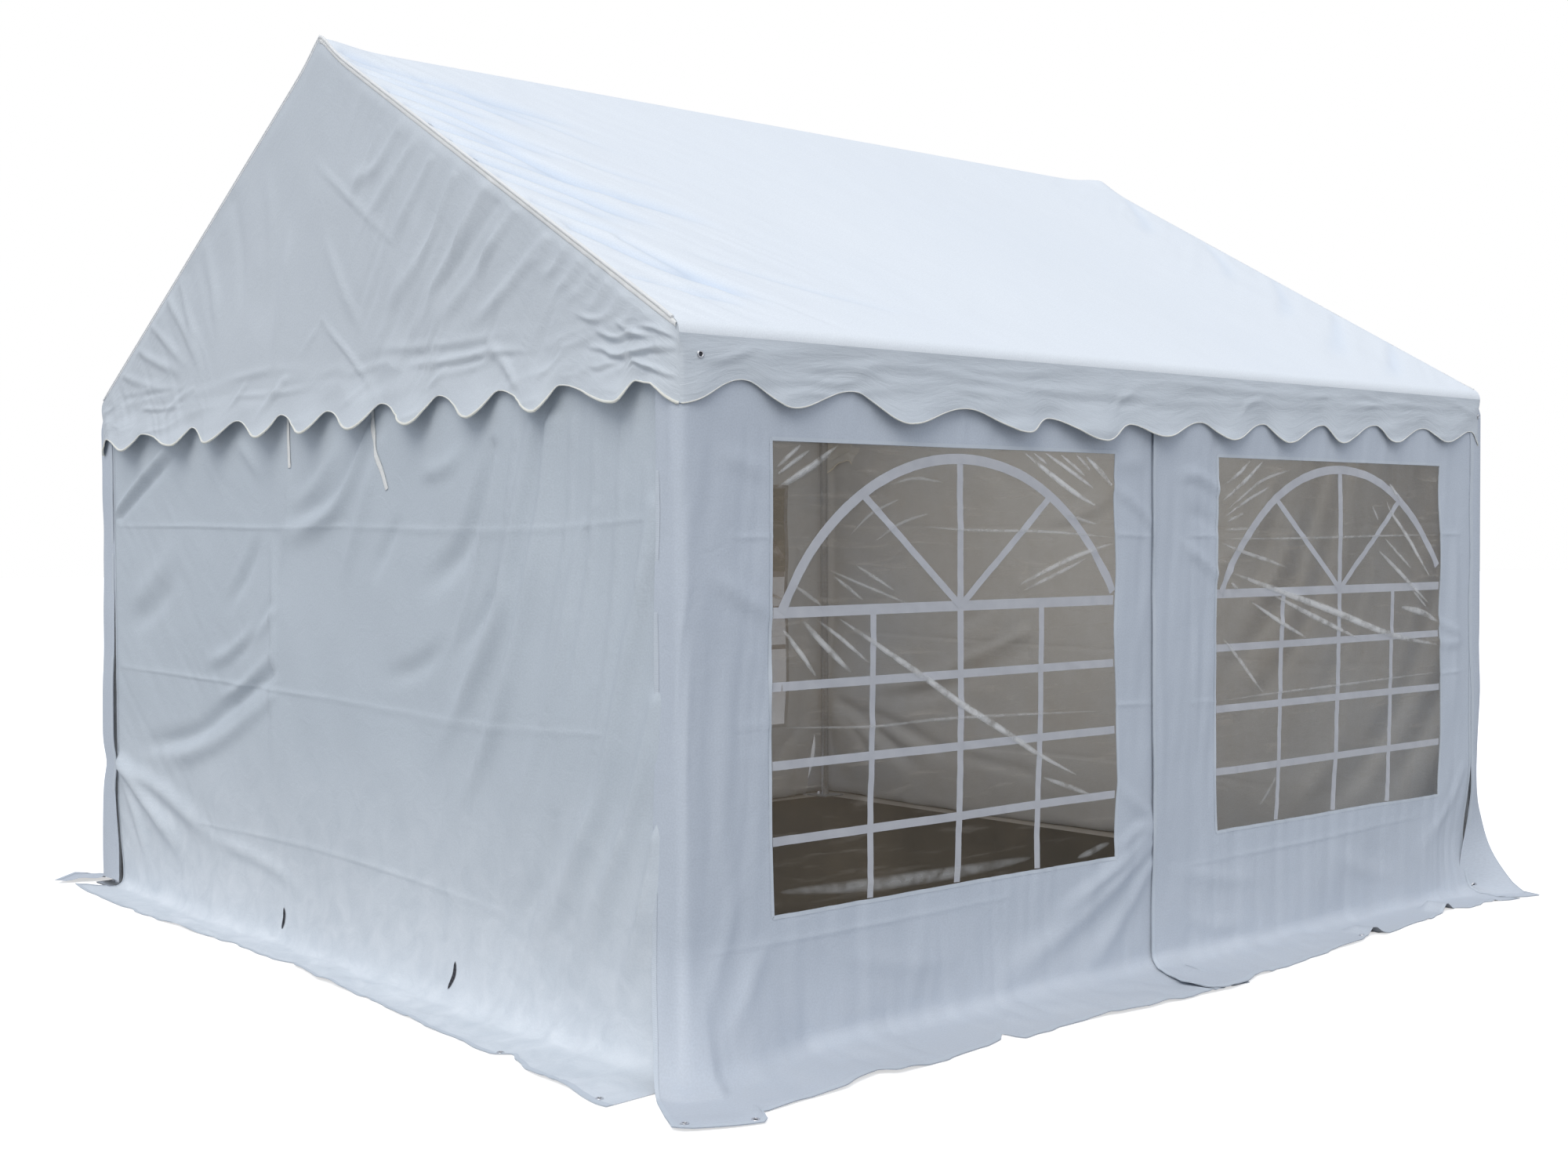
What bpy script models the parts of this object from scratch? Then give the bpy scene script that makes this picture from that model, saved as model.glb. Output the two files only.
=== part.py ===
"""Family marquee tent, 4 m long: a steel tube frame on six feet, with a coated cloth cover.

X runs along the eaves, Y from the front to the back, Z up. The origin lies on the ground
under the middle of the tent. Everything is in metres.
"""

import math

import bmesh
import bpy
from mathutils import Matrix, Vector

# Overall sizes, over the outside of the cloth
TENT_LENGTH = 4.00
TENT_WIDTH = 3.86
EAVE_HEIGHT = 1.97
RIDGE_HEIGHT = 3.067

# Tube frame
TUBE_RADIUS = 0.019
FITTING_RADIUS = 0.022
BALL_RADIUS = 0.0214
BALL_SEGMENTS = 10
BALL_RINGS = 7
SOCKET_STEP = 0.00015
SOCKET_OVERRUN = 0.0015
SOCKET_LENGTH = 0.12
TUBE_SIDES = 12
TUBE_BEVEL_STEPS = 4
SHARP_ANGLE = 35
PLATE_SIZE = 0.14
PLATE_THICKNESS = 0.006
PEG_HOLE_RADIUS = 0.007
PEG_HOLE_INSET = 0.022
PEG_HOLE_SIDES = 8

# Cloth and clear film
CLOTH = 0.004
FILM = 0.003
FILM_LAP = 0.02
SEAT_GAP = 0.0003

# Walls and their ground skirts
WALL_TOP = 1.955
FLARE_HEIGHT = 0.26
FLARE_REACH = 0.12
FLARE_STEPS = 5
LAP_END_HEIGHT = 0.36
END_SKIRT = 0.22
SIDE_SKIRT = 0.31
SKIRT_RIPPLE = 0.16
RIPPLE_PITCH = 0.82
CORNER_WRAP = 0.09
RIGHT_WRAP = 0.055
MIDDLE_LAP_EDGE = -0.04
MIDDLE_UNDERLAP = 0.05
EDGE_GAP = 0.005
SIDE_COLUMNS = 9
END_COLUMNS = 10

# Windows
WINDOW_WIDTH = 1.415
WINDOW_HEIGHT = 1.27
WINDOW_SILL = 0.405
WINDOW_CUT_DEPTH = 0.08
WINDOW_CENTRES = {"left": -0.9775, "right": 1.0225}

# Scalloped valance
SCALLOPS = 10.5
SCALLOP_MIDDLE = 1.806
SCALLOP_SWING = 0.035
SCALLOP_ROUNDNESS = 0.36
SCALLOP_STEPS = 5

# Worked out from the sizes above
SLOPE = math.atan2(RIDGE_HEIGHT - EAVE_HEIGHT, TENT_WIDTH / 2)
HALF_LENGTH = TENT_LENGTH / 2
HALF_WIDTH = TENT_WIDTH / 2
LAYER = CLOTH + SEAT_GAP
FRAME_X = HALF_LENGTH - 3 * LAYER
FRAME_Y = HALF_WIDTH - 3 * LAYER
POST_X = FRAME_X - FITTING_RADIUS
POST_Y = FRAME_Y - FITTING_RADIUS
AXIS_DROP = (CLOTH + SEAT_GAP + FITTING_RADIUS) / math.cos(SLOPE)
EAVE_AXIS = EAVE_HEIGHT + (HALF_WIDTH - POST_Y) * math.tan(SLOPE) - AXIS_DROP
RIDGE_AXIS = RIDGE_HEIGHT - AXIS_DROP
HEAD_TOP = EAVE_HEIGHT - CLOTH * math.cos(SLOPE) - SEAT_GAP

COLUMNS = {"left": -1, "middle": 0, "right": 1}
ROWS = {"front": -1, "back": 1}


def clear_scene():
    for item in list(bpy.data.objects):
        bpy.data.objects.remove(item, do_unlink=True)


def new_collection(name):
    group = bpy.data.collections.new(name)
    bpy.context.scene.collection.children.link(group)
    return group


clear_scene()
TENT = new_collection("marquee_tent")
CUTTERS = new_collection("marquee_tent_cutters")


def finish(name, colour, roughness, metallic=0.0, alpha=1.0):
    """A Principled material with the finish of one kind of piece."""
    material = bpy.data.materials.new(name)
    material.use_nodes = True
    shader = material.node_tree.nodes["Principled BSDF"]
    shader.inputs["Base Color"].default_value = (*colour, 1.0)
    shader.inputs["Roughness"].default_value = roughness
    shader.inputs["Metallic"].default_value = metallic
    shader.inputs["Alpha"].default_value = alpha
    return material


FINISHES = {
    "tube": dict(colour=(0.55, 0.57, 0.60), roughness=0.35, metallic=1.0),
    "fitting": dict(colour=(0.48, 0.50, 0.53), roughness=0.45, metallic=1.0),
    "roof": dict(colour=(0.76, 0.81, 0.88), roughness=0.55),
    "wall": dict(colour=(0.72, 0.76, 0.83), roughness=0.60),
    "film": dict(colour=(0.42, 0.40, 0.38), roughness=0.12, alpha=0.4),
}


def add(name, data, group=TENT, look=None):
    """Link a mesh or curve as one named piece with a material of its own."""
    piece = bpy.data.objects.new(name, data)
    group.objects.link(piece)
    if look:
        data.materials.append(finish(name + "_finish", **FINISHES[look]))
    return piece


def mesh_from(bm, name):
    mesh = bpy.data.meshes.new(name)
    bm.to_mesh(mesh)
    bm.free()
    return mesh


def box_mesh(name, size, centre=(0, 0, 0)):
    bm = bmesh.new()
    bmesh.ops.create_cube(bm, size=1.0)
    bmesh.ops.scale(bm, vec=Vector(size), verts=bm.verts)
    bmesh.ops.translate(bm, vec=Vector(centre), verts=bm.verts)
    return mesh_from(bm, name)


def rod_mesh(name, start, end, radius, sides=TUBE_SIDES):
    """A round bar between two points, with flat ends."""
    start, end = Vector(start), Vector(end)
    along = end - start
    turn = along.to_track_quat("Z", "Y").to_matrix().to_4x4()
    place = Matrix.Translation((start + end) / 2) @ turn
    bm = bmesh.new()
    bmesh.ops.create_cone(
        bm, cap_ends=True, segments=sides, radius1=radius, radius2=radius,
        depth=along.length, matrix=place,
    )
    return mesh_from(bm, name)


def combine(piece, operation, mesh):
    """Join a shape to a piece, or cut it out, with a live Boolean."""
    tool = add(piece.name + "_tool", mesh, CUTTERS)
    tool.hide_render = True
    tool.display_type = "WIRE"
    step = piece.modifiers.new(operation.title(), "BOOLEAN")
    step.operation = operation
    step.solver = "EXACT"
    step.object = tool


def shade_round(piece):
    piece.data.shade_smooth()
    piece.data.set_sharp_from_angle(angle=math.radians(SHARP_ANGLE))


def add_tube(name, start, end):
    """A straight frame tube, as a bevelled curve with closed ends."""
    curve = bpy.data.curves.new(name, "CURVE")
    curve.dimensions = "3D"
    curve.bevel_depth = TUBE_RADIUS
    curve.bevel_resolution = TUBE_BEVEL_STEPS
    curve.use_fill_caps = True
    spline = curve.splines.new("POLY")
    spline.points.add(1)
    for point, place in zip(spline.points, (start, end)):
        point.co = (*place, 1.0)
    return add(name, curve, look="tube")


def add_post(name, x, y):
    """A leg with its foot plate welded on, and a peg hole in the plate's outer edge."""
    top = EAVE_AXIS - SOCKET_LENGTH - SEAT_GAP
    plate = box_mesh(
        name, (PLATE_SIZE, PLATE_SIZE, PLATE_THICKNESS), (x, y, PLATE_THICKNESS / 2)
    )
    piece = add(name, plate, look="tube")
    leg_foot = (x, y, PLATE_THICKNESS / 2)
    combine(piece, "UNION", rod_mesh(name + "_leg", leg_foot, (x, y, top), TUBE_RADIUS))
    hole_y = y + math.copysign(PLATE_SIZE / 2 - PEG_HOLE_INSET, y)
    low, high = (x, hole_y, -PLATE_THICKNESS), (x, hole_y, 2 * PLATE_THICKNESS)
    combine(piece, "DIFFERENCE", rod_mesh(name + "_hole", low, high, PEG_HOLE_RADIUS, PEG_HOLE_SIDES))


def add_fitting(name, centre, directions):
    """A welded socket cluster: a ball where the tube axes cross, and a socket on each.

    Each socket starts a little past the ball's middle and is a hair thinner than the one
    before, so that no two of their faces lie in one plane.
    """
    bm = bmesh.new()
    bmesh.ops.create_uvsphere(
        bm, u_segments=BALL_SEGMENTS, v_segments=BALL_RINGS, radius=BALL_RADIUS,
        matrix=Matrix.Translation(centre),
    )
    piece = add(name, mesh_from(bm, name), look="fitting")
    for number, direction in enumerate(directions):
        along = Vector(direction).normalized()
        mouth = centre + along * SOCKET_LENGTH
        root = centre - along * SOCKET_OVERRUN * (number + 1)
        radius = FITTING_RADIUS - SOCKET_STEP * number
        socket = rod_mesh(f"{name}_socket_{number}", root, mouth, radius)
        combine(piece, "UNION", socket)
    shade_round(piece)


def between(start, end):
    """The two ends of a tube that reaches from one fitting's socket to the next."""
    start, end = Vector(start), Vector(end)
    step = (end - start).normalized() * (SOCKET_LENGTH + SEAT_GAP)
    return start + step, end - step


def eave_point(column, row):
    return Vector((COLUMNS[column] * POST_X, ROWS[row] * POST_Y, EAVE_AXIS))


def ridge_point(column):
    return Vector((COLUMNS[column] * POST_X, 0, RIDGE_AXIS))


def lengthwise(column):
    """The ways in which rails leave a fitting in this column."""
    return [(way, 0, 0) for way in (-1, 1) if abs(COLUMNS[column] + way) < 2]


def build_frame():
    for column, place in COLUMNS.items():
        ridge = ridge_point(column)
        slopes = []
        for row, side in ROWS.items():
            eave = eave_point(column, row)
            up_slope = (ridge - eave).normalized()
            slopes.append(-up_slope)
            ways = [(0, 0, -1), up_slope] + lengthwise(column)
            if place:
                ways.append((0, -side, 0))
            add_post(f"post_{row}_{column}", eave.x, eave.y)
            add_fitting(f"eave_fitting_{row}_{column}", eave, ways)
            add_tube(f"rafter_{row}_{column}", *between(eave, ridge))
        add_fitting(f"ridge_fitting_{column}", ridge, slopes + lengthwise(column))
    for half in ("left", "right"):
        ends = ("left", "middle") if half == "left" else ("middle", "right")
        add_tube(f"ridge_pole_{half}", *between(*map(ridge_point, ends)))
        for row in ROWS:
            start, end = (eave_point(column, row) for column in ends)
            add_tube(f"eave_rail_{row}_{half}", *between(start, end))
        corners = (eave_point(half, row) for row in ROWS)
        add_tube(f"gable_bar_{half}", *between(*corners))


def add_roof(name, side):
    """One slope of the roof cloth, a flat sheet from the eave up to the ridge seam."""
    seam = CLOTH * math.sin(SLOPE) + SEAT_GAP
    length = (HALF_WIDTH - seam) / math.cos(SLOPE)
    middle = (HALF_WIDTH + seam) / 2
    surface = Vector((0, side * middle, RIDGE_HEIGHT - middle * math.tan(SLOPE)))
    outward = Vector((0, side * math.sin(SLOPE), math.cos(SLOPE)))
    piece = add(name, box_mesh(name, (TENT_LENGTH, length, CLOTH)), look="roof")
    piece.rotation_euler = (-side * SLOPE, 0, 0)
    piece.location = surface - outward * CLOTH / 2


def scalloped_edge(half_span):
    """Points along a scalloped hem, each with its height, from one end to the other."""
    turns = 2 * SCALLOPS
    points = []
    for turn in range(int(turns) + 1):
        along = -half_span + 2 * half_span * turn / turns
        swing = -SCALLOP_SWING if turn % 2 == 0 else SCALLOP_SWING
        points.append((along, SCALLOP_MIDDLE + swing))
    return points


def add_hanging_sheet(name, half_span, upper_outline):
    """A flat sheet cut to an outline, with a scalloped lower hem. It stands upright."""
    curve = bpy.data.curves.new(name, "CURVE")
    curve.dimensions = "2D"
    curve.fill_mode = "BOTH"
    curve.extrude = CLOTH / 2
    curve.resolution_u = SCALLOP_STEPS
    hem = scalloped_edge(half_span)
    reach = (hem[1][0] - hem[0][0]) * SCALLOP_ROUNDNESS
    spline = curve.splines.new("BEZIER")
    spline.use_cyclic_u = True
    spline.bezier_points.add(len(hem) + len(upper_outline) - 1)
    for knot, (along, height) in zip(spline.bezier_points, hem + upper_outline):
        knot.co = (along, height, 0)
        knot.handle_left_type = knot.handle_right_type = "VECTOR"
    for knot, (along, height) in zip(spline.bezier_points, hem):
        knot.handle_left_type = knot.handle_right_type = "FREE"
        knot.handle_left = (along - reach, height, 0)
        knot.handle_right = (along + reach, height, 0)
    for knot in (spline.bezier_points[0], spline.bezier_points[len(hem) - 1]):
        knot.handle_left_type = knot.handle_right_type = "VECTOR"
    return add(name, curve, look="roof")


def build_cover():
    valance_plane = HALF_WIDTH - CLOTH / 2
    gable_plane = HALF_LENGTH - CLOTH / 2
    gable_half = HALF_WIDTH - LAYER
    for row, side in ROWS.items():
        add_roof(f"roof_{row}", side)
        top = [(HALF_LENGTH, HEAD_TOP), (-HALF_LENGTH, HEAD_TOP)]
        valance = add_hanging_sheet(f"valance_{row}", HALF_LENGTH, top)
        valance.rotation_euler = (math.pi / 2, 0, 0)
        valance.location.y = side * valance_plane
    under_roof = (CLOTH + SEAT_GAP) / math.cos(SLOPE)
    peak = RIDGE_HEIGHT - under_roof
    foot = peak - gable_half * math.tan(SLOPE)
    for half in ("left", "right"):
        top = [(gable_half, foot), (0, peak), (-gable_half, foot)]
        gable = add_hanging_sheet(f"gable_{half}", gable_half, top)
        gable.rotation_euler = (math.pi / 2, 0, math.pi / 2)
        gable.location.x = COLUMNS[half] * gable_plane


def skirt_ripple(along):
    """How much the skirt's edge draws in, from 0 at a pitch line to the full ripple."""
    return SKIRT_RIPPLE * math.sin(math.pi * along / RIPPLE_PITCH) ** 2


def wall_rows():
    """Rows of a wall from its skirt's edge up: (share of flare, share of flat, height)."""
    rows = [(1.0, 1.0, CLOTH)]
    for step in range(FLARE_STEPS, -1, -1):
        part = step / FLARE_STEPS
        height = CLOTH + (FLARE_HEIGHT - CLOTH) * (1 - part) ** 2
        rows.append((part * part, 0.0, height))
    rows.append((0.0, 0.0, LAP_END_HEIGHT))
    rows.append((0.0, 0.0, WALL_TOP))
    return rows


def add_wall(name, stations, skirt_stations):
    """A hanging wall whose foot flares out over the ground.

    A station is (x, y, out_x, out_y, along): a point of the wall's outer line, the ways
    in which the skirt spreads there, and the place along the wall for the ripple. The
    skirt has its own stations, because it ends where the next wall's skirt begins.
    """
    rows = wall_rows()
    bm = bmesh.new()
    columns = len(stations) - 1
    bmesh.ops.create_grid(bm, x_segments=columns, y_segments=len(rows) - 1, size=1.0)
    for vert in bm.verts:
        column = round((vert.co.x + 1) / 2 * columns)
        flare, flat, height = rows[round((vert.co.y + 1) / 2 * (len(rows) - 1))]
        source = stations if height >= LAP_END_HEIGHT else skirt_stations
        x, y, out_x, out_y, along = source[column]
        kept = 1 - skirt_ripple(along)
        edge_x = (HALF_LENGTH + END_SKIRT - abs(x)) * kept
        edge_y = (HALF_WIDTH + SIDE_SKIRT - abs(y)) * kept
        reach_x = flare * FLARE_REACH + flat * (edge_x - FLARE_REACH)
        reach_y = flare * FLARE_REACH + flat * (edge_y - FLARE_REACH)
        vert.co = (x + out_x * reach_x, y + out_y * reach_y, height)
    piece = add(name, mesh_from(bm, name), look="wall")
    shell = piece.modifiers.new("Cloth", "SOLIDIFY")
    shell.thickness = CLOTH
    shell.offset = -1.0
    shell.use_even_offset = True
    return piece


def spread(start, end, count):
    return [start + (end - start) * step / count for step in range(count + 1)]


def side_stations(side, wrap_x, y_plane, first, last, wrapped):
    """Stations of a front or back wall, in the order that faces it outward."""
    points = []
    if wrapped:
        edge = side * (HALF_WIDTH - CORNER_WRAP)
        points.append((wrap_x, edge, -1, 0, 0.0))
        points.append((wrap_x, side * y_plane, -1, side, 0.0))
    inner = spread(first, last, SIDE_COLUMNS)[1 if wrapped else 0:]
    points += [(x, side * y_plane, 0, side, x + HALF_LENGTH) for x in inner]
    return points if side < 0 else points[::-1]


def build_side_walls():
    inner_plane = FRAME_Y + LAYER
    outer_plane = FRAME_Y + 2 * LAYER
    wrap_x = -(FRAME_X + 2 * LAYER)
    skirt_end = MIDDLE_LAP_EDGE - EDGE_GAP
    right_edge = HALF_LENGTH - RIGHT_WRAP - EDGE_GAP
    for row, side in ROWS.items():
        walls = {
            "left": (
                side_stations(side, wrap_x, inner_plane, wrap_x, MIDDLE_UNDERLAP, True),
                side_stations(side, wrap_x, inner_plane, wrap_x, skirt_end, True),
                inner_plane,
            ),
            "right": (
                side_stations(side, 0, outer_plane, MIDDLE_LAP_EDGE, right_edge, False),
                side_stations(side, 0, outer_plane, MIDDLE_LAP_EDGE, right_edge, False),
                outer_plane,
            ),
        }
        for half, (stations, skirt_stations, plane) in walls.items():
            wall = add_wall(f"wall_{row}_{half}", stations, skirt_stations)
            middle = (WINDOW_CENTRES[half], side * plane, WINDOW_SILL + WINDOW_HEIGHT / 2)
            cut = (WINDOW_WIDTH, WINDOW_CUT_DEPTH, WINDOW_HEIGHT)
            hole = box_mesh("window_hole", cut, middle)
            combine(wall, "DIFFERENCE", hole)
            film_y = side * (plane - LAYER - FILM / 2)
            size = (WINDOW_WIDTH + 2 * FILM_LAP, FILM, WINDOW_HEIGHT + 2 * FILM_LAP)
            film = box_mesh("film", size, (middle[0], film_y, middle[2]))
            add(f"window_{row}_{half}", film, look="film")


def build_end_walls():
    plane = FRAME_X + LAYER
    covered = FRAME_Y - FITTING_RADIUS
    bare = HALF_WIDTH - CORNER_WRAP - EDGE_GAP

    def left_line(reach):
        return [(-plane, y, -1, 0, y + HALF_WIDTH) for y in spread(reach, -reach, END_COLUMNS)]

    add_wall("wall_end_left", left_line(covered), left_line(bare))
    corner = FRAME_Y + LAYER
    edge = HALF_LENGTH - RIGHT_WRAP
    line = [(edge, -corner, 0, -1, 0.0), (plane, -corner, 1, -1, 0.0)]
    inner = spread(-corner, corner, END_COLUMNS)[1:-1]
    line += [(plane, y, 1, 0, y + HALF_WIDTH) for y in inner]
    line += [(plane, corner, 1, 1, 0.0), (edge, corner, 0, 1, 0.0)]
    add_wall("wall_end_right", line, line)


build_frame()
build_cover()
build_side_walls()
build_end_walls()
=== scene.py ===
# %% [markdown]
# # A marquee tent in white coated cloth
#
# A party marquee is a frame of steel tubes with cloth hung over it: two roof slopes with a
# scalloped valance, a gable at each end, and wall panels that flare out over the ground. The
# frame is already built to size, so this lesson dresses it. Each sheet of cloth is made as a
# grid of threads, bent to its big shape by a formula, and then given the folds, packing
# creases and gathers that a real sheet keeps. The steel keeps its shape and gets a finish.

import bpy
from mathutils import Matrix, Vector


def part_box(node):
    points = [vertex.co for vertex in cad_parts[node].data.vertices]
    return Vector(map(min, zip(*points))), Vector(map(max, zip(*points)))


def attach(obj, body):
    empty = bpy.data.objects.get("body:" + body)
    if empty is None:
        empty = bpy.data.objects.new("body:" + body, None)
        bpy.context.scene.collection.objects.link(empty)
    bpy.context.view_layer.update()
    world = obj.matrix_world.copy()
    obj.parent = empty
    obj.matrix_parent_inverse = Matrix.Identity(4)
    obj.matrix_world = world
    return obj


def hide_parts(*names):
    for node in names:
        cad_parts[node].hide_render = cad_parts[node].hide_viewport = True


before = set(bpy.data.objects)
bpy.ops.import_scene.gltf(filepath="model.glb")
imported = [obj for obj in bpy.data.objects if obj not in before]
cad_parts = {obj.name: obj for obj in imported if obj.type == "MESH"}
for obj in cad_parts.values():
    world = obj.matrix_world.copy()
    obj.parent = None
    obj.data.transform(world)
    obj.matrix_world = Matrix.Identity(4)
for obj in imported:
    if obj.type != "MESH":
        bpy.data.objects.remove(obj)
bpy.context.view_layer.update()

# %% Tools
import math

import bmesh
import bpy
import numpy as np
from mathutils import Matrix, Vector

# %% Sizes taken from the frame
roof_low, roof_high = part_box("roof_front")
HALF_LENGTH = roof_high.x
HALF_WIDTH = -roof_low.y
EAVE = 1.97
RIDGE = roof_high.z
SLOPE = math.atan2(RIDGE - EAVE, HALF_WIDTH)
LAYER = 0.0043
END_PLANE = HALF_LENGTH - 2 * LAYER
WRAP_PLANE = HALF_LENGTH - LAYER
LEFT_PLANE = HALF_WIDTH - 2 * LAYER
RIGHT_PLANE = HALF_WIDTH - LAYER
WALL_TOP = 1.955
CLOTH = 0.0012
GROUND = 0.003
print("length", 2 * HALF_LENGTH, "width", 2 * HALF_WIDTH, "roof slope", round(math.degrees(SLOPE), 1))

# %% [markdown]
# ## The camera
#
# The picture was taken standing in front of the near corner, at about eye height. A camera
# is placed by where it stands, which way it turns, and its lens.

# %% Camera
CAMERA_PLACE = (-5.0335, -5.8316, 1.4154)
CAMERA_YAW = math.radians(40.96)
CAMERA_PITCH = math.radians(-1.47)
CAMERA_ROLL = math.radians(-0.27)
CAMERA_LENS = 43.82


def place_object(name, data):
    """A new object in the scene."""
    made = bpy.data.objects.new(name, data)
    bpy.context.scene.collection.objects.link(made)
    return made


camera = place_object("camera", bpy.data.cameras.new("camera"))
camera.data.lens = CAMERA_LENS
camera.data.sensor_width = 36.0
camera.data.clip_end = 200.0
turn = Matrix.Rotation(-CAMERA_YAW, 4, "Z") @ Matrix.Rotation(math.pi / 2 + CAMERA_PITCH, 4, "X")
camera.matrix_world = Matrix.Translation(CAMERA_PLACE) @ turn @ Matrix.Rotation(CAMERA_ROLL, 4, "Z")
bpy.context.scene.camera = camera

# %% [markdown]
# ## Floor and light
#
# The tent stands in the open under a bright, clouded sky, which is nearly even from horizon
# to top. The roof sees all of it and the walls see half, so the roof comes out light and the
# walls greyer. One wide, weak, slightly warm sun from the left lifts the end wall a little
# above the long side, and leaves the far side of every fold to the bluer sky.

# %% Sky and sun
view = bpy.context.scene.view_settings
view.view_transform = "Standard"
view.look = "None"
SKY_TOP = (0.59, 0.64, 0.73, 1.0)
SKY_LOW = (0.58, 0.62, 0.69, 1.0)
SUN_TURN = (math.radians(45), 0, math.radians(-58))
SUN_STRENGTH = 1.46
SUN_WIDTH = math.radians(44)
WHITE = (1.0, 1.0, 1.0, 1.0)
BEYOND = (0.10, 0.10, 0.09, 1.0)


def link(tree, *joints):
    """Join nodes: a joint is (node, its output, node, its input), or a socket, node and input."""
    for *source, target, entry in joints:
        output = source[0].outputs[source[1]] if len(source) == 2 else source[0]
        tree.links.new(output, target.inputs[entry])


def add_node(tree, kind, **settings):
    """A node with its properties and unlinked sockets set by name, with _ for a space."""
    made = tree.nodes.new("ShaderNode" + kind)
    for name, value in settings.items():
        socket = name.replace("_", " ")
        if socket in made.inputs:
            made.inputs[socket].default_value = value
        else:
            setattr(made, name, value)
    return made


def seen_directly(tree, ray):
    """1 for what the camera sees with nothing between, and 0 for light and views through film."""
    clear = add_node(tree, "Math", operation="LESS_THAN")
    clear.inputs[1].default_value = 0.5
    both = add_node(tree, "Math", operation="MULTIPLY")
    link(
        tree, (ray, "Transparent Depth", clear, 0), (clear, 0, both, 0), (ray, "Is Camera Ray", both, 1),
    )
    return both.outputs[0]


def make_sky():
    """White past the tent, dark where it is seen through film, and a soft gradient as light."""
    world = bpy.data.worlds.new("clouded_sky")
    bpy.context.scene.world = world
    world.use_nodes = True
    tree = world.node_tree
    tree.nodes.clear()
    place = add_node(tree, "TexCoord")
    split = add_node(tree, "SeparateXYZ")
    ramp = add_node(tree, "ValToRGB")
    ramp.color_ramp.elements[0].color = SKY_LOW
    ramp.color_ramp.elements[1].color = SKY_TOP
    light = add_node(tree, "Background")
    seen = add_node(tree, "Background", Color=WHITE)
    beyond = add_node(tree, "Background", Color=BEYOND)
    ray = add_node(tree, "LightPath")
    looked_at = add_node(tree, "MixShader")
    mix = add_node(tree, "MixShader")
    out = add_node(tree, "OutputWorld")
    link(
        tree, (place, "Generated", split, 0), (split, "Z", ramp, "Fac"), (ramp, "Color", light, "Color"),
        (seen_directly(tree, ray), looked_at, "Fac"), (beyond, 0, looked_at, 1), (seen, 0, looked_at, 2),
        (ray, "Is Camera Ray", mix, "Fac"), (light, 0, mix, 1), (looked_at, 0, mix, 2),
        (mix, 0, out, "Surface"),
    )


def make_sun():
    data = bpy.data.lights.new("soft_sun", "SUN")
    data.energy = SUN_STRENGTH
    data.angle = SUN_WIDTH
    data.color = (1.0, 0.97, 0.91)
    place_object("soft_sun", data).rotation_euler = SUN_TURN


make_sky()
make_sun()
print("sky and sun are in place")

# %% [markdown]
# The floor is plain and looks white, but a white floor would light the walls from below as
# snow does. So the light that leaves it for the tent is that of a grey floor, and only the
# picture of it is pale. Inside, where little light falls, a darker sheet of floor lies under
# the tent: its dark, patchy colour is painted shade as well as the dark of bare ground, as dim
# and patchy as the inside of a closed tent looks.

# %% Floor
FLOOR_RADIUS = 70.0
FLOOR_SEEN = (0.80, 0.80, 0.80, 1.0)
FLOOR_GLOW = 0.60
FLOOR_BOUNCE = (0.38, 0.38, 0.38, 1.0)
INSIDE_TONES = ((0.028, 0.026, 0.022), (0.060, 0.056, 0.048))
INSIDE_MARGIN = 0.03
INSIDE_RAISE = 0.001


def take_mesh(name, bm):
    """The mesh of a finished bmesh, which is then let go."""
    mesh = bpy.data.meshes.new(name)
    bm.to_mesh(mesh)
    bm.free()
    return mesh


def make_object(name, shape, paint):
    """An object in the scene with one material."""
    shape.materials.append(paint)
    return place_object(name, shape)


def new_finish(name, **sockets):
    """A Principled material with values set on the shader's own sockets."""
    paint = bpy.data.materials.new(name)
    paint.use_nodes = True
    shader = paint.node_tree.nodes["Principled BSDF"]
    for socket, value in sockets.items():
        shader.inputs[socket.replace("_", " ")].default_value = value
    return paint, paint.node_tree, shader


def floor_paint():
    """Pale where it is seen, grey where it only passes light on."""
    paint, tree, seen = new_finish(
        "pale_floor", Base_Color=FLOOR_SEEN, Roughness=0.9, Specular_IOR_Level=0.1,
        Emission_Color=WHITE, Emission_Strength=FLOOR_GLOW,
    )
    bounced = add_node(tree, "BsdfDiffuse", Color=FLOOR_BOUNCE)
    mix = add_node(tree, "MixShader")
    link(
        tree, (seen_directly(tree, add_node(tree, "LightPath")), mix, "Fac"), (bounced, 0, mix, 1),
        (seen, 0, mix, 2), (mix, 0, tree.nodes["Material Output"], "Surface"),
    )
    return paint


def inside_paint():
    """The dim, patchy floor under the tent: painted shade as well as dark ground."""
    paint, tree, shader = new_finish("floor_inside", Roughness=0.9)
    patches = add_node(tree, "TexNoise", Scale=2.5, Detail=8.0)
    ramp = add_node(tree, "ValToRGB")
    for element, tone in zip(ramp.color_ramp.elements, INSIDE_TONES):
        element.color = (*tone, 1.0)
    link(tree, (patches, "Fac", ramp, "Fac"), (ramp, "Color", shader, "Base Color"))
    return paint


floor_mesh = bmesh.new()
bmesh.ops.create_circle(floor_mesh, cap_ends=True, segments=96, radius=FLOOR_RADIUS)
make_object("floor", take_mesh("floor", floor_mesh), floor_paint())
inside_mesh = bmesh.new()
reach_x, reach_y = END_PLANE - INSIDE_MARGIN, LEFT_PLANE - INSIDE_MARGIN
corners = ((-1, -1), (1, -1), (1, 1), (-1, 1))
ring = [inside_mesh.verts.new((a * reach_x, b * reach_y, INSIDE_RAISE)) for a, b in corners]
inside_mesh.faces.new(ring)
make_object("floor_inside", take_mesh("floor_inside", inside_mesh), inside_paint())
print("floor laid")

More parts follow.
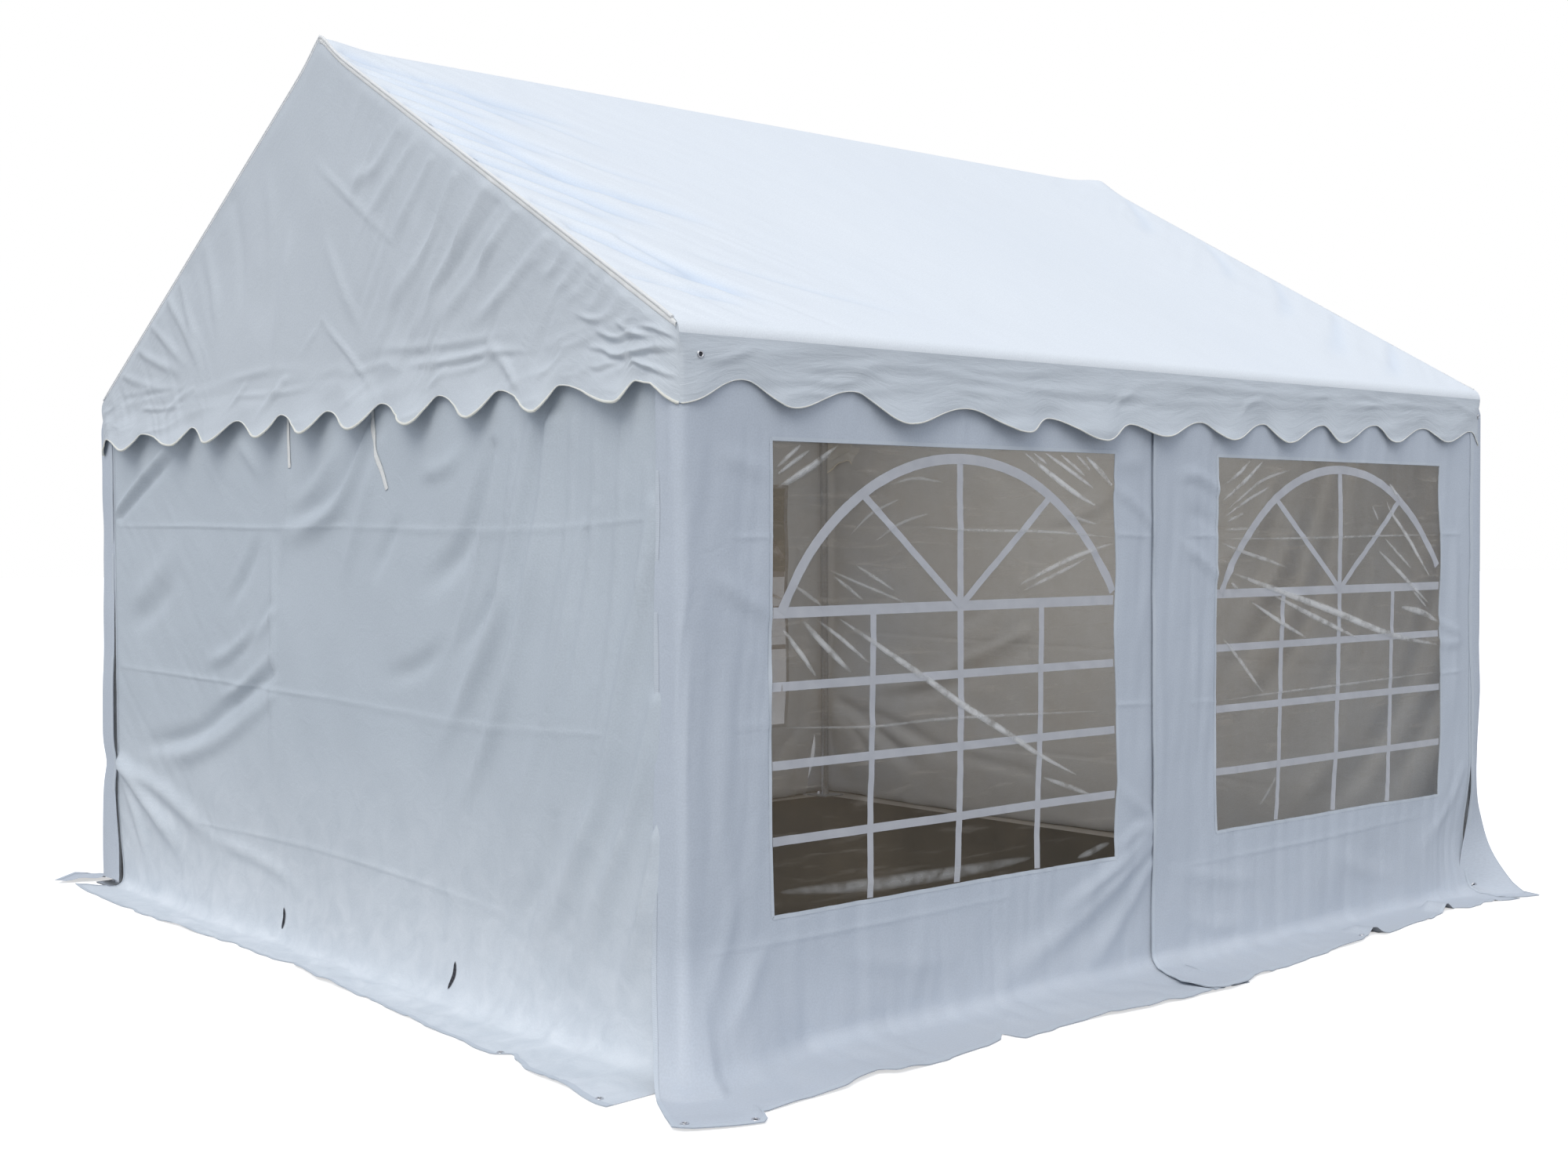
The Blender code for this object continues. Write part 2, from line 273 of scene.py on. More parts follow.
# %% [markdown]
# Daylight soaks through the real cloth and fills the inside with a dull, warm light. One
# weak, wide lamp in the middle stands in for it. It can't be seen or mirrored.

# %% Light inside
INSIDE_LIGHT = 44.0

glow = bpy.data.lights.new("inside_light", "POINT")
glow.energy = INSIDE_LIGHT
glow.color = (1.0, 0.87, 0.71)
glow.shadow_soft_size = 0.5
lamp = place_object("inside_light", glow)
lamp.location = (0.2, 0.0, 1.45)
lamp.visible_camera = False
lamp.visible_glossy = False
print("inside light", INSIDE_LIGHT, "watts")

# %% [markdown]
# ## Finishes
#
# The cover is woven plastic tape with a soft white coating. From near by it shows a fine
# grid, a satin shine and small dents from being folded and packed. All of that can be made
# with nodes: two crossed wave textures for the weave, noise for the dents and for the faint
# change of tint, and dust near the ground. A pale tint low on the left end wall is painted
# light, and a bluer tone in the hollows of the roof's folds is painted shade. The roof, the
# cover's sides and the walls catch the light differently, so each has a tone of its own: the
# roof and the cover's sides are one cloth, so the roof's lighter tone is painted light and
# the sides' darker tone painted shade. A node material needs no picture files, and it keeps
# its real scale because the cloth's UV map is in metres.

# %% Blending colours and laying bumps
MIX_SHARE, MIX_FIRST, MIX_SECOND, MIX_RESULT = 0, 6, 7, 2


def blend_colours(tree, share, first, second):
    """Mix two colours by a share. Either may be a socket or a plain colour."""
    mix = add_node(tree, "Mix", data_type="RGBA")
    link(tree, (share, mix, MIX_SHARE))
    for entry, colour in ((MIX_FIRST, first), (MIX_SECOND, second)):
        if isinstance(colour, tuple):
            mix.inputs[entry].default_value = (*colour, 1.0)
        else:
            link(tree, (colour, mix, entry))
    return mix.outputs[MIX_RESULT]


def raise_bumps(tree, layers):
    """Lay bumps over each other: each layer is (height socket, strength, depth in metres)."""
    normal = None
    for height, strength, depth in layers:
        bump = add_node(tree, "Bump", Strength=strength, Distance=depth)
        link(tree, (height, bump, "Height"))
        if normal:
            link(tree, (normal, bump, "Normal"))
        normal = bump.outputs["Normal"]
    return normal


print("colours can be blended and bumps laid over each other")

# %% Coated cloth
WEAVE_PITCH = 0.0016
GREY_DUST = (0.35, 0.42, (0.60, 0.61, 0.63))
# A pale tint near the ground, painted light: it makes the lower wall lighter.
PAINTED_LOW_LIGHT = (0.80, 0.85, (0.88, 0.91, 0.95))


def coated_cloth(name, colour, shade, roughness, seed, dust_and_light=GREY_DUST):
    """White coated cloth: weave, packing dents, uneven tint, and a tint near the ground, which is
    grey dust when it is dark and painted light when it is pale.

    dust_and_light is how high that tint reaches, how much of it there is at the ground, and its colour.
    """
    dust_and_light_height, dust_and_light_share, dust_and_light_colour = dust_and_light
    paint, tree, shader = new_finish(
        name, Roughness=roughness, IOR=1.45, Sheen_Weight=0.08, Sheen_Roughness=0.5,
    )
    place = add_node(tree, "TexCoord")
    cloth = add_node(tree, "Mapping", Location=(seed, 2 * seed, 0))
    broad = add_node(tree, "TexNoise", Scale=1.3, Detail=3.0, Roughness=0.55)
    dents = add_node(tree, "TexNoise", Scale=11.0, Detail=4.0, Roughness=0.6, Distortion=0.6)
    grain = add_node(tree, "TexNoise", Scale=190.0, Detail=2.0)
    warp = add_node(tree, "TexWave", bands_direction="X", Scale=math.pi / 10 / WEAVE_PITCH)
    weft = add_node(tree, "TexWave", bands_direction="Y", Scale=math.pi / 10 / WEAVE_PITCH)
    weave = add_node(tree, "Math", operation="MULTIPLY")
    link(
        tree, (place, "UV", cloth, "Vector"), (place, "Object", broad, "Vector"),
        (cloth, 0, dents, "Vector"), (cloth, 0, grain, "Vector"), (cloth, 0, warp, "Vector"),
        (cloth, 0, weft, "Vector"), (warp, "Fac", weave, 0), (weft, "Fac", weave, 1),
    )
    even_tint = blend_colours(tree, broad.outputs["Fac"], colour, shade)
    speck = add_node(tree, "MapRange", clamp=True, From_Min=0.35, From_Max=0.65, To_Max=0.16)
    link(tree, (grain, "Fac", speck, "Value"))
    tint = blend_colours(tree, speck.outputs[0], even_tint, tuple(0.55 * part for part in shade))
    low = add_node(tree, "SeparateXYZ")
    near_ground = add_node(
        tree, "MapRange", clamp=True, From_Min=dust_and_light_height, From_Max=0.0, To_Max=dust_and_light_share,
    )
    dust_and_light_patch = add_node(tree, "Math", operation="MULTIPLY")
    link(
        tree, (place, "Object", low, 0), (low, "Z", near_ground, "Value"),
        (near_ground, 0, dust_and_light_patch, 0), (dents, "Fac", dust_and_light_patch, 1),
    )
    # Near the ground: grey dust on most cloths, painted light where the tint is pale.
    dusted_and_lit = blend_colours(tree, dust_and_light_patch.outputs[0], tint, dust_and_light_colour)
    rough = add_node(tree, "MapRange", To_Min=roughness - 0.10, To_Max=roughness + 0.12)
    normal = raise_bumps(tree, [
        (dents.outputs["Fac"], 0.40, 0.006),
        (grain.outputs["Fac"], 0.10, 0.0006),
        (weave.outputs[0], 0.12, 0.0002),
    ])
    link(
        tree, (dents, "Fac", rough, "Value"), (rough, 0, shader, "Roughness"),
        (dusted_and_lit, shader, "Base Color"), (normal, shader, "Normal"),
    )
    return paint


def paint_shade_in_hollows(paint, colour, most):
    """Painted shade: blend towards a colour in the hollows that a sheet's own folds leave."""
    tree = paint.node_tree
    shader = tree.nodes["Principled BSDF"]
    before = shader.inputs["Base Color"].links[0].from_socket
    hollow_shade = add_node(tree, "Attribute", attribute_name="hollow_shade")
    depth = add_node(tree, "Math", operation="MULTIPLY")
    depth.inputs[1].default_value = most
    link(tree, (hollow_shade, "Fac", depth, 0))
    link(tree, (blend_colours(tree, depth.outputs[0], before, colour), shader, "Base Color"))


# The roof and the cover's sides are one cloth: the roof's lighter copy is painted light, and the sides'
# darker copy painted shade.
ROOF_CLOTH = coated_cloth("roof_cloth", (0.91, 0.945, 0.975), (0.88, 0.925, 0.97), 0.42, 0.3)
COVER_CLOTH = coated_cloth("cover_cloth", (0.66, 0.705, 0.75), (0.63, 0.68, 0.73), 0.50, 2.9)
WALL_CLOTH = coated_cloth("wall_cloth", (0.595, 0.645, 0.715), (0.565, 0.62, 0.70), 0.55, 1.7)
# The left end wall is painted lighter near the ground.
END_CLOTH = coated_cloth("end_cloth", (0.59, 0.645, 0.70), (0.56, 0.62, 0.68), 0.55, 3.3, PAINTED_LOW_LIGHT)
# The roof's folds get painted shade: a bluer tone in their hollows.
paint_shade_in_hollows(ROOF_CLOTH, (0.54, 0.67, 0.86), 0.48)
print("cloth finishes:", *(paint.name for paint in (ROOF_CLOTH, COVER_CLOTH, WALL_CLOTH, END_CLOTH)))

# %% [markdown]
# Hems are the same cloth folded double, so only their tone and their stitches differ. The
# window film is clear but smoky, with pale slanted streaks that are painted highlight. Plain
# glass would look too clean, so noise leads its colour and its clearness. The print is a thin
# white layer, and a crease is a pale line that fades at its edges, partly whitened film and
# partly painted highlight, so both have a finish of their own.

# %% Seam tape, clear film and printed bars
def seam_tape():
    """A folded hem: the same coated cloth with two rows of stitches along it."""
    paint, tree, shader = new_finish("seam_tape", Roughness=0.5)
    place = add_node(tree, "TexCoord")
    stitches = add_node(tree, "TexWave", bands_direction="X", Scale=math.pi / 10 / 0.005)
    wear = add_node(tree, "TexNoise", Scale=40.0, Detail=3.0)
    link(tree, (place, "UV", stitches, "Vector"), (place, "Object", wear, "Vector"))
    colour = blend_colours(tree, wear.outputs["Fac"], (0.57, 0.62, 0.68), (0.62, 0.67, 0.73))
    normal = raise_bumps(tree, [
        (stitches.outputs["Fac"], 0.25, 0.0008),
        (wear.outputs["Fac"], 0.20, 0.002),
    ])
    link(tree, (colour, shader, "Base Color"), (normal, shader, "Normal"))
    return paint


def clear_film():
    """Clear soft film: see-through, a little smoky, glossy, with fine ripples and pale slanted streaks of
    painted highlight.
    """
    paint, tree, shader = new_finish("clear_film", Roughness=0.12, IOR=1.45, Alpha=0.3)
    place = add_node(tree, "TexCoord")
    ripples = add_node(tree, "TexNoise", Scale=14.0, Detail=4.0, Roughness=0.62, Distortion=1.2)
    haze = add_node(tree, "TexNoise", Scale=3.2, Detail=5.0, Roughness=0.65)
    slant = add_node(tree, "Mapping", Rotation=(0, 0, math.radians(33)), Scale=(3.5, 34.0, 1.0))
    # Pale slanted streaks of painted highlight, which also make the film less clear.
    streak_noise = add_node(tree, "TexNoise", Scale=1.0, Detail=4.0, Roughness=0.6, Distortion=0.5)
    painted_streak = add_node(tree, "MapRange", clamp=True, From_Min=0.56, From_Max=0.78, To_Max=0.30)
    fog_and_streaks = add_node(tree, "Math", operation="ADD")
    cloud = add_node(tree, "MapRange", From_Min=0.35, From_Max=0.75, To_Min=0.24, To_Max=0.44)
    level = add_node(tree, "SeparateXYZ")
    clearer = add_node(tree, "MapRange", clamp=True, From_Min=0.40, From_Max=0.80, To_Min=0.40)
    veil = add_node(tree, "Math", operation="MULTIPLY")
    link(
        tree, (place, "UV", ripples, "Vector"), (place, "UV", haze, "Vector"),
        (place, "Object", level, 0), (haze, "Fac", cloud, "Value"), (level, "Z", clearer, "Value"),
        (place, "UV", slant, "Vector"), (slant, 0, streak_noise, "Vector"), (streak_noise, "Fac", painted_streak, "Value"),
        (cloud, 0, fog_and_streaks, 0), (painted_streak, 0, fog_and_streaks, 1), (fog_and_streaks, 0, veil, 0), (clearer, 0, veil, 1),
    )
    smoke = blend_colours(tree, haze.outputs["Fac"], (0.160, 0.119, 0.076), (0.295, 0.229, 0.156))
    colour = blend_colours(tree, painted_streak.outputs[0], smoke, (0.90, 0.88, 0.84))
    normal = raise_bumps(tree, [(ripples.outputs["Fac"], 0.5, 0.006)])
    link(tree, (colour, shader, "Base Color"), (veil, 0, shader, "Alpha"), (normal, shader, "Normal"))
    return paint


def printed_bar():
    """White print on the film, thin enough to look a little grey against the light."""
    paint, tree, shader = new_finish("printed_bar", Roughness=0.35, Alpha=0.9)
    place = add_node(tree, "TexCoord")
    wear = add_node(tree, "TexNoise", Scale=25.0, Detail=4.0)
    link(tree, (place, "Object", wear, "Vector"))
    colour = blend_colours(tree, wear.outputs["Fac"], (0.50, 0.51, 0.55), (0.60, 0.61, 0.64))
    normal = raise_bumps(tree, [(wear.outputs["Fac"], 0.2, 0.001)])
    link(tree, (colour, shader, "Base Color"), (normal, shader, "Normal"))
    return paint


def crease_glint():
    """The pale line where film was folded, partly whitened film and partly painted highlight: it fades out
    towards its edges and ends.
    """
    paint, tree, shader = new_finish("crease_glint", Roughness=0.2, Base_Color=(0.80, 0.80, 0.79, 1.0))
    strength = add_node(tree, "Attribute", attribute_name="glint")
    place = add_node(tree, "TexCoord")
    broken = add_node(tree, "TexNoise", Scale=22.0, Detail=3.0)
    spread = add_node(tree, "MapRange", From_Min=0.2, From_Max=0.55)
    alpha = add_node(tree, "Math", operation="MULTIPLY")
    link(
        tree, (place, "Object", broken, "Vector"), (broken, "Fac", spread, "Value"),
        (spread, 0, alpha, 0), (strength, "Fac", alpha, 1), (alpha, 0, shader, "Alpha"),
    )
    return paint


SEAM_TAPE = seam_tape()
WELT = coated_cloth("verge_welt", (0.93, 0.93, 0.90), (0.90, 0.90, 0.88), 0.45, 4.1)
HEM_CORD = coated_cloth("hem_cord", (0.90, 0.89, 0.81), (0.86, 0.85, 0.77), 0.50, 2.2)
for paint, depth in ((WELT, 0.012), (HEM_CORD, 0.004)):
    shader = paint.node_tree.nodes["Principled BSDF"]
    shader.inputs["Subsurface Weight"].default_value = 0.85
    shader.inputs["Subsurface Radius"].default_value = (1.0, 1.0, 1.0)
    shader.inputs["Subsurface Scale"].default_value = depth
CLEAR_FILM = clear_film()
PRINTED_BAR = printed_bar()
CREASE_GLINT = crease_glint()
print("seam, film and print finishes made")

# %% [markdown]
# The frame is zinc-coated tube. Zinc sets in grains and clouds, and cell noise with cloud
# noise gives both at their real size, on every tube at once and with no picture files.

# %% Galvanised steel, bright fastenings and dark painted shade
def galvanised(name, colour, roughness):
    """Zinc-coated steel: cloudy grey patches, a fine spangle and dull scratches."""
    paint, tree, shader = new_finish(name, Metallic=1.0, Roughness=roughness)
    place = add_node(tree, "TexCoord")
    spangle = add_node(tree, "TexVoronoi", Scale=90.0)
    cloud = add_node(tree, "TexNoise", Scale=9.0, Detail=4.0)
    link(tree, (place, "Object", spangle, "Vector"), (place, "Object", cloud, "Vector"))
    bright = tuple(min(1.0, part * 1.15) for part in colour)
    dull = tuple(part * 0.80 for part in colour)
    patchy = blend_colours(tree, cloud.outputs["Fac"], dull, bright)
    grains = blend_colours(tree, spangle.outputs["Distance"], patchy, bright)
    rough = add_node(tree, "MapRange", To_Min=roughness - 0.08, To_Max=roughness + 0.18)
    normal = raise_bumps(tree, [(cloud.outputs["Fac"], 0.15, 0.001)])
    link(
        tree, (cloud, "Fac", rough, "Value"), (rough, 0, shader, "Roughness"),
        (grains, shader, "Base Color"), (normal, shader, "Normal"),
    )
    return paint


def painted_shade_dark():
    """Ribbed and nearly black: painted shade for the eyelets' holes and for two slits at each end wall's
    foot.
    """
    paint, tree, shader = new_finish("painted_shade_dark", Roughness=0.8)
    place = add_node(tree, "TexCoord")
    ribs = add_node(tree, "TexWave", Scale=120.0)
    link(tree, (place, "Object", ribs, "Vector"))
    colour = blend_colours(tree, ribs.outputs["Fac"], (0.02, 0.02, 0.025), (0.05, 0.05, 0.06))
    link(tree, (colour, shader, "Base Color"))
    return paint


TUBE_STEEL = galvanised("tube_steel", (0.56, 0.58, 0.61), 0.38)
FITTING_STEEL = galvanised("fitting_steel", (0.48, 0.50, 0.53), 0.46)
FASTENING = galvanised("bright_fastening", (0.74, 0.74, 0.76), 0.24)
PAINTED_SHADE_DARK = painted_shade_dark()
STEEL_NODES = ("post_", "rafter_", "ridge_pole_", "eave_rail_", "gable_bar_")
for name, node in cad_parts.items():
    if name.startswith(STEEL_NODES):
        node.material_slots[0].material = TUBE_STEEL
    elif "fitting" in name:
        node.material_slots[0].material = FITTING_STEEL
print("steel finish on", sum(name.startswith(STEEL_NODES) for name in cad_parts), "tubes")

# %% [markdown]
# ## How a sheet is made
#
# A sheet is a grid whose lines have places in metres, across and down. A shape function says
# where each crossing lies in space. Relief is then added along the sheet's normals: that is
# the same idea as sculpting, but in code it can be repeated, measured and changed. A cloth
# simulation would give other folds whenever a setting changed, and these folds are known, so
# they are laid where the real cloth has them.

# %% Lines of a grid, closer together where a crease needs them
def threads(start, end, pitch, fine=(), exact=()):
    """Places from start to end, about a pitch apart, closer near fine ones, on exact ones."""
    walk = np.linspace(start, end, 4001)
    density = np.ones_like(walk)
    for place in fine:
        density += 2.2 * np.exp(-(((walk - place) / 0.022) ** 2))
    steps = (density[1:] + density[:-1]) / 2 * np.diff(walk)
    total = np.concatenate([[0.0], np.cumsum(steps)])
    count = max(2, round(total[-1] / pitch))
    lines = np.interp(np.linspace(0.0, total[-1], count + 1), total, walk)
    for place in exact:
        lines[np.abs(lines - place).argmin()] = place
    return lines


def ease(start, end, value):
    """0 before start, 1 after end, and a smooth rise between."""
    share = np.clip((value - start) / (end - start), 0.0, 1.0)
    return share * share * (3 - 2 * share)


print("threads for 1 m at 2 cm:", len(threads(0, 1, 0.02)), "lines")

# %% [markdown]
# ### Folds
#
# A fold is a line that someone could draw on the sheet with a finger, with a width and a
# height. Soft folds have a round top. A packing crease is sharp. Where a fold leans, one
# side is steep and the other is slack, which is what makes a bright edge over a dark one.

# %% Folds
def smooth_line(points, steps=6):
    """A curve through a few listed points, which are given two numbers at a time."""
    knots = np.array(points, float).reshape(-1, 2)
    padded = np.vstack([2 * knots[0] - knots[1], knots, 2 * knots[-1] - knots[-2]])
    share = np.linspace(0.0, 1.0, steps, endpoint=False)[:, None]
    parts = []
    for a, b, c, d in zip(padded, padded[1:], padded[2:], padded[3:]):
        bend = (2 * a - 5 * b + 4 * c - d) * share**2 + (3 * b - a - 3 * c + d) * share**3
        parts.append(0.5 * (2 * b + (c - a) * share + bend))
    return np.vstack([*parts, knots[-1:]])


def fold(points, width, height, lean=0.0, hold=0, sharp=False):
    """A fold along a line. Width may grow from start to end. hold keeps height at the ends.

    One number as width is for the whole line, and one number as hold is for its start.
    """
    widths = width if isinstance(width, tuple) else (width, width)
    holds = hold if isinstance(hold, tuple) else (hold, 0)
    return dict(
        line=smooth_line(points), width=widths, height=height, lean=lean, hold=holds, sharp=sharp,
    )


def crease(points, height=0.0035, width=0.009):
    """A sharp packing crease, kept at full height from end to end."""
    return fold(points, width, height, lean=0.25, hold=(0.6, 0.6), sharp=True)


def lay_folds(u, v, folds):
    """The height that a list of folds gives at each place of a sheet."""
    height = np.zeros_like(u)
    for one in folds:
        line, widths = one["line"], one["width"]
        margin = 3.2 * max(widths)
        low, high = line.min(0) - margin, line.max(0) + margin
        near = (u > low[0]) & (u < high[0]) & (v > low[1]) & (v < high[1])
        if not near.any():
            continue
        start, step = line[:-1], np.diff(line, axis=0)
        length = np.hypot(step[:, 0], step[:, 1])
        from_start = np.stack([u[near], v[near]], -1)[:, None, :] - start
        share = np.clip((from_start * step).sum(-1) / length**2, 0.0, 1.0)
        away = from_start - share[..., None] * step
        distance = np.hypot(away[..., 0], away[..., 1])
        closest = distance.argmin(1)
        rows = np.arange(len(closest))
        travelled = np.concatenate([[0.0], np.cumsum(length)])
        along = (travelled[closest] + share[rows, closest] * length[closest]) / travelled[-1]
        side = np.sign(step[closest, 0] * away[rows, closest, 1] - step[closest, 1] * away[rows, closest, 0])
        offset = distance[rows, closest] / (widths[0] + (widths[1] - widths[0]) * along)
        body = np.exp(-1.3 * offset) if one["sharp"] else np.exp(-(offset**2))
        swing = side * offset * np.exp(0.5 - offset**2)
        first, last = one["hold"]
        fade = (first + (1 - first) * ease(0, 0.35, along)) * (last + (1 - last) * ease(0, 0.45, 1 - along))
        lean = one["lean"]
        height[near] += one["height"] * fade * ((1 - abs(lean)) * body + lean * swing)
    return height


print("a fold is", list(fold([(0, 0), (1, 1)], 0.02, 0.01)))

# %% Slack and crumple
def slack(u, v, size_u, size_v, seed):
    """Smooth, seeded unevenness between -1 and 1, stretched by its two sizes in metres."""
    lattice = np.random.default_rng(seed).uniform(-1, 1, (61, 61))
    x, y = u / size_u + 100, v / size_v + 100
    i, j = np.floor(x).astype(int), np.floor(y).astype(int)
    fx, fy = x - i, y - j
    fx, fy = fx * fx * (3 - 2 * fx), fy * fy * (3 - 2 * fy)
    i, j, i2, j2 = i % 61, j % 61, (i + 1) % 61, (j + 1) % 61
    low = lattice[i, j] * (1 - fx) + lattice[i2, j] * fx
    high = lattice[i, j2] * (1 - fx) + lattice[i2, j2] * fx
    return low * (1 - fy) + high * fy


def streaks(u, v, angle, length, width, seed):
    """Ridges that run along an angle, as long and as wide as said: the pull of taut cloth."""
    c, s = math.cos(angle), math.sin(angle)
    along, across = u * c + v * s, v * c - u * s
    across = across + 0.25 * width * slack(u, v, 4 * width, 4 * width, seed + 1)
    return 1 - 2 * np.abs(slack(along, across, length, width, seed))


sample = slack(np.linspace(0, 3, 50), np.zeros(50), 0.3, 0.3, 1)
print("slack runs from", round(sample.min(), 2), "to", round(sample.max(), 2))

# %% [markdown]
# ### From grid to mesh
#
# The grid itself comes from Blender's own grid maker. Its corners are then moved all at
# once, which is far quicker than one by one. The places are kept, so that seams, eyelets
# and window bars can later be set exactly on the bent cloth.

# %% The sheet maker
SHEETS = {}


def facing_normals(places, outward):
    """Unit normals of a grid of places, turned to the side that outward points to."""
    normals = np.cross(np.gradient(places, axis=1), np.gradient(places, axis=0))
    normals /= np.maximum(np.linalg.norm(normals, axis=2, keepdims=True), 1e-9)
    middle = normals[normals.shape[0] // 3, normals.shape[1] // 2]
    return normals if middle @ np.array(outward, float) > 0 else -normals


def fit_to_tent(piece, stands_for=None):
    """Carry a piece with the tent, and hide the plain piece it takes the place of."""
    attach(piece, "root")
    if stands_for:
        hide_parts(stands_for)


def grid_mesh(name, across, down, places, outward, left_out=None):
    """A mesh with one corner for each crossing, and faces left out where asked."""
    columns, rows = len(across) - 1, len(down) - 1
    bm = bmesh.new()
    bmesh.ops.create_grid(bm, x_segments=columns, y_segments=rows, size=1.0)
    if left_out:
        u_middle, v_middle = (across[1:] + across[:-1]) / 2, (down[1:] + down[:-1]) / 2
        gone = []
        for face in bm.faces:
            centre = face.calc_center_median()
            column = int((centre.x + 1) / 2 * columns)
            row = int((centre.y + 1) / 2 * rows)
            if left_out(u_middle[column], v_middle[row]):
                gone.append(face)
        bmesh.ops.delete(bm, geom=gone, context="FACES")
    bm.edges.index_update()
    rims = [edge.index for edge in bm.edges if edge.is_boundary]
    mesh = take_mesh(name, bm)
    flat = np.empty(len(mesh.vertices) * 3)
    mesh.vertices.foreach_get("co", flat)
    flat = flat.reshape(-1, 3)
    i = np.rint((flat[:, 0] + 1) / 2 * columns).astype(int)
    j = np.rint((flat[:, 1] + 1) / 2 * rows).astype(int)
    mesh.vertices.foreach_set("co", places[j, i].ravel())
    corners = np.empty(len(mesh.loops), int)
    mesh.loops.foreach_get("vertex_index", corners)
    metres = np.stack([across[i], down[j]], -1)[corners]
    mesh.uv_layers.new(name="cloth").data.foreach_set("uv", metres.ravel())
    mesh.update()
    faces = [mesh.polygons[0], mesh.polygons[len(mesh.polygons) // 2]]
    if sum(face.normal @ Vector(outward) for face in faces) < 0:
        mesh.flip_normals()
    mesh.shade_smooth()
    for number in rims:
        mesh.edges[number].use_edge_sharp = True
    return mesh


def make_sheet(name, across, down, shape, relief, outward, paint, left_out=None, thick=True):
    """A sheet of cloth: shape() bends the grid, and relief() raises its folds."""
    u, v = np.meshgrid(across, down)
    base = shape(u, v)
    normals = facing_normals(base, outward)
    places = base + normals * relief(u, v)[..., None]
    places[..., 2] = np.maximum(places[..., 2], GROUND)
    SHEETS[name] = dict(across=across, down=down, places=places, outward=outward)
    mesh = grid_mesh(name, across, down, places, outward, left_out)
    piece = make_object(name, mesh, paint)
    if thick:
        shell = piece.modifiers.new("cloth_thickness", "SOLIDIFY")
        shell.thickness = CLOTH
        shell.offset = -1.0
    print(name, len(mesh.polygons), "faces")
    return piece


def spots(sheet, u, v):
    """Places and outward normals on a finished sheet, for arrays of u and v."""
    data = SHEETS[sheet]
    across, down, places = data["across"], data["down"], data["places"]
    u, v = np.atleast_1d(u).astype(float), np.atleast_1d(v).astype(float)
    i = np.clip(np.searchsorted(across, u) - 1, 0, len(across) - 2)
    j = np.clip(np.searchsorted(down, v) - 1, 0, len(down) - 2)
    fu = np.clip((u - across[i]) / (across[i + 1] - across[i]), 0, 1)[:, None]
    fv = np.clip((v - down[j]) / (down[j + 1] - down[j]), 0, 1)[:, None]
    a, b, c, d = places[j, i], places[j, i + 1], places[j + 1, i], places[j + 1, i + 1]
    found = (a * (1 - fu) + b * fu) * (1 - fv) + (c * (1 - fu) + d * fu) * fv
    normals = np.cross(b - a + d - c, c - a + d - b)
    normals /= np.maximum(np.linalg.norm(normals, axis=1, keepdims=True), 1e-12)
    flip = np.sign(normals @ np.array(data["outward"], float))
    flip[flip == 0] = 1
    return found, normals * flip[:, None]


print("a sheet is drawn", CLOTH * 1000, "mm thick")

# %% [markdown]
# ### Strips that lie on a sheet
#
# Hems, window bars and crease lines are all long narrow strips that follow the cloth. One
# maker serves them all: it walks along a line on the sheet, and lays a few corners across
# the strip at each step, a hair above the cloth.

# %% The strip maker
def resample(points, step):
    """Evenly spaced places along a line."""
    points = np.array(points, float)
    lengths = np.hypot(*np.diff(points, axis=0).T)
    travelled = np.concatenate([[0.0], np.cumsum(lengths)])
    count = max(2, int(round(travelled[-1] / step)) + 1)
    even = np.linspace(0, travelled[-1], count)
    return np.stack([np.interp(even, travelled, points[:, k]) for k in range(2)], -1)


def strip_faces(first, strands, length):
    """Faces between strands of corners that lie one after another, each as long as length."""
    return [
        (corner, corner + 1, corner + length + 1, corner + length)
        for strand in range(strands - 1)
        for corner in range(first + strand * length, first + (strand + 1) * length - 1)
    ]


def strip_mesh(name, corners, faces, outward):
    """A smooth mesh, turned so that its first face looks outward."""
    mesh = bpy.data.meshes.new(name)
    mesh.from_pydata([tuple(corner) for corner in corners], [], faces)
    mesh.update()
    if mesh.polygons[0].normal @ Vector(outward) < 0:
        mesh.flip_normals()
    mesh.shade_smooth()
    return mesh


def lay_strips(name, sheet, strips, paint, step=0.012):
    """One mesh of strips on a sheet. A strip is (points, width, lift, strands, glint)."""
    corners, faces, metres, glints = [], [], [], []
    for points, width, lift, strands, glint in strips:
        line = resample(points, step)
        heading = np.gradient(line, axis=0)
        heading /= np.maximum(np.hypot(heading[:, 0], heading[:, 1])[:, None], 1e-9)
        sideways = np.stack([-heading[:, 1], heading[:, 0]], -1)
        share = np.linspace(0, 1, len(line))
        taper = np.sqrt(np.clip(4 * share * (1 - share), 0.0, 1.0)) if glint else np.ones_like(share)
        first = len(corners)
        for offset in np.linspace(-0.5, 0.5, strands):
            place = line + sideways * (offset * width * taper)[:, None]
            found, normals = spots(sheet, place[:, 0], place[:, 1])
            corners.extend(found + normals * lift)
            glints.extend(glint * taper * (1 - 4 * offset * offset) if glint else np.ones_like(share))
            metres.extend(zip(share * len(line) * step, np.full(len(line), offset * width)))
        faces.extend(strip_faces(first, strands, len(line)))
    mesh = strip_mesh(name, corners, faces, SHEETS[sheet]["outward"])
    loops = np.empty(len(mesh.loops), int)
    mesh.loops.foreach_get("vertex_index", loops)
    mesh.uv_layers.new(name="cloth").data.foreach_set("uv", np.array(metres)[loops].ravel())
    mesh.attributes.new("glint", "FLOAT", "POINT").data.foreach_set("value", np.array(glints))
    return make_object(name, mesh, paint)


print("1 m of strip at 12 mm steps has", len(resample([(0, 0), (1, 0)], 0.012)), "corners along it")

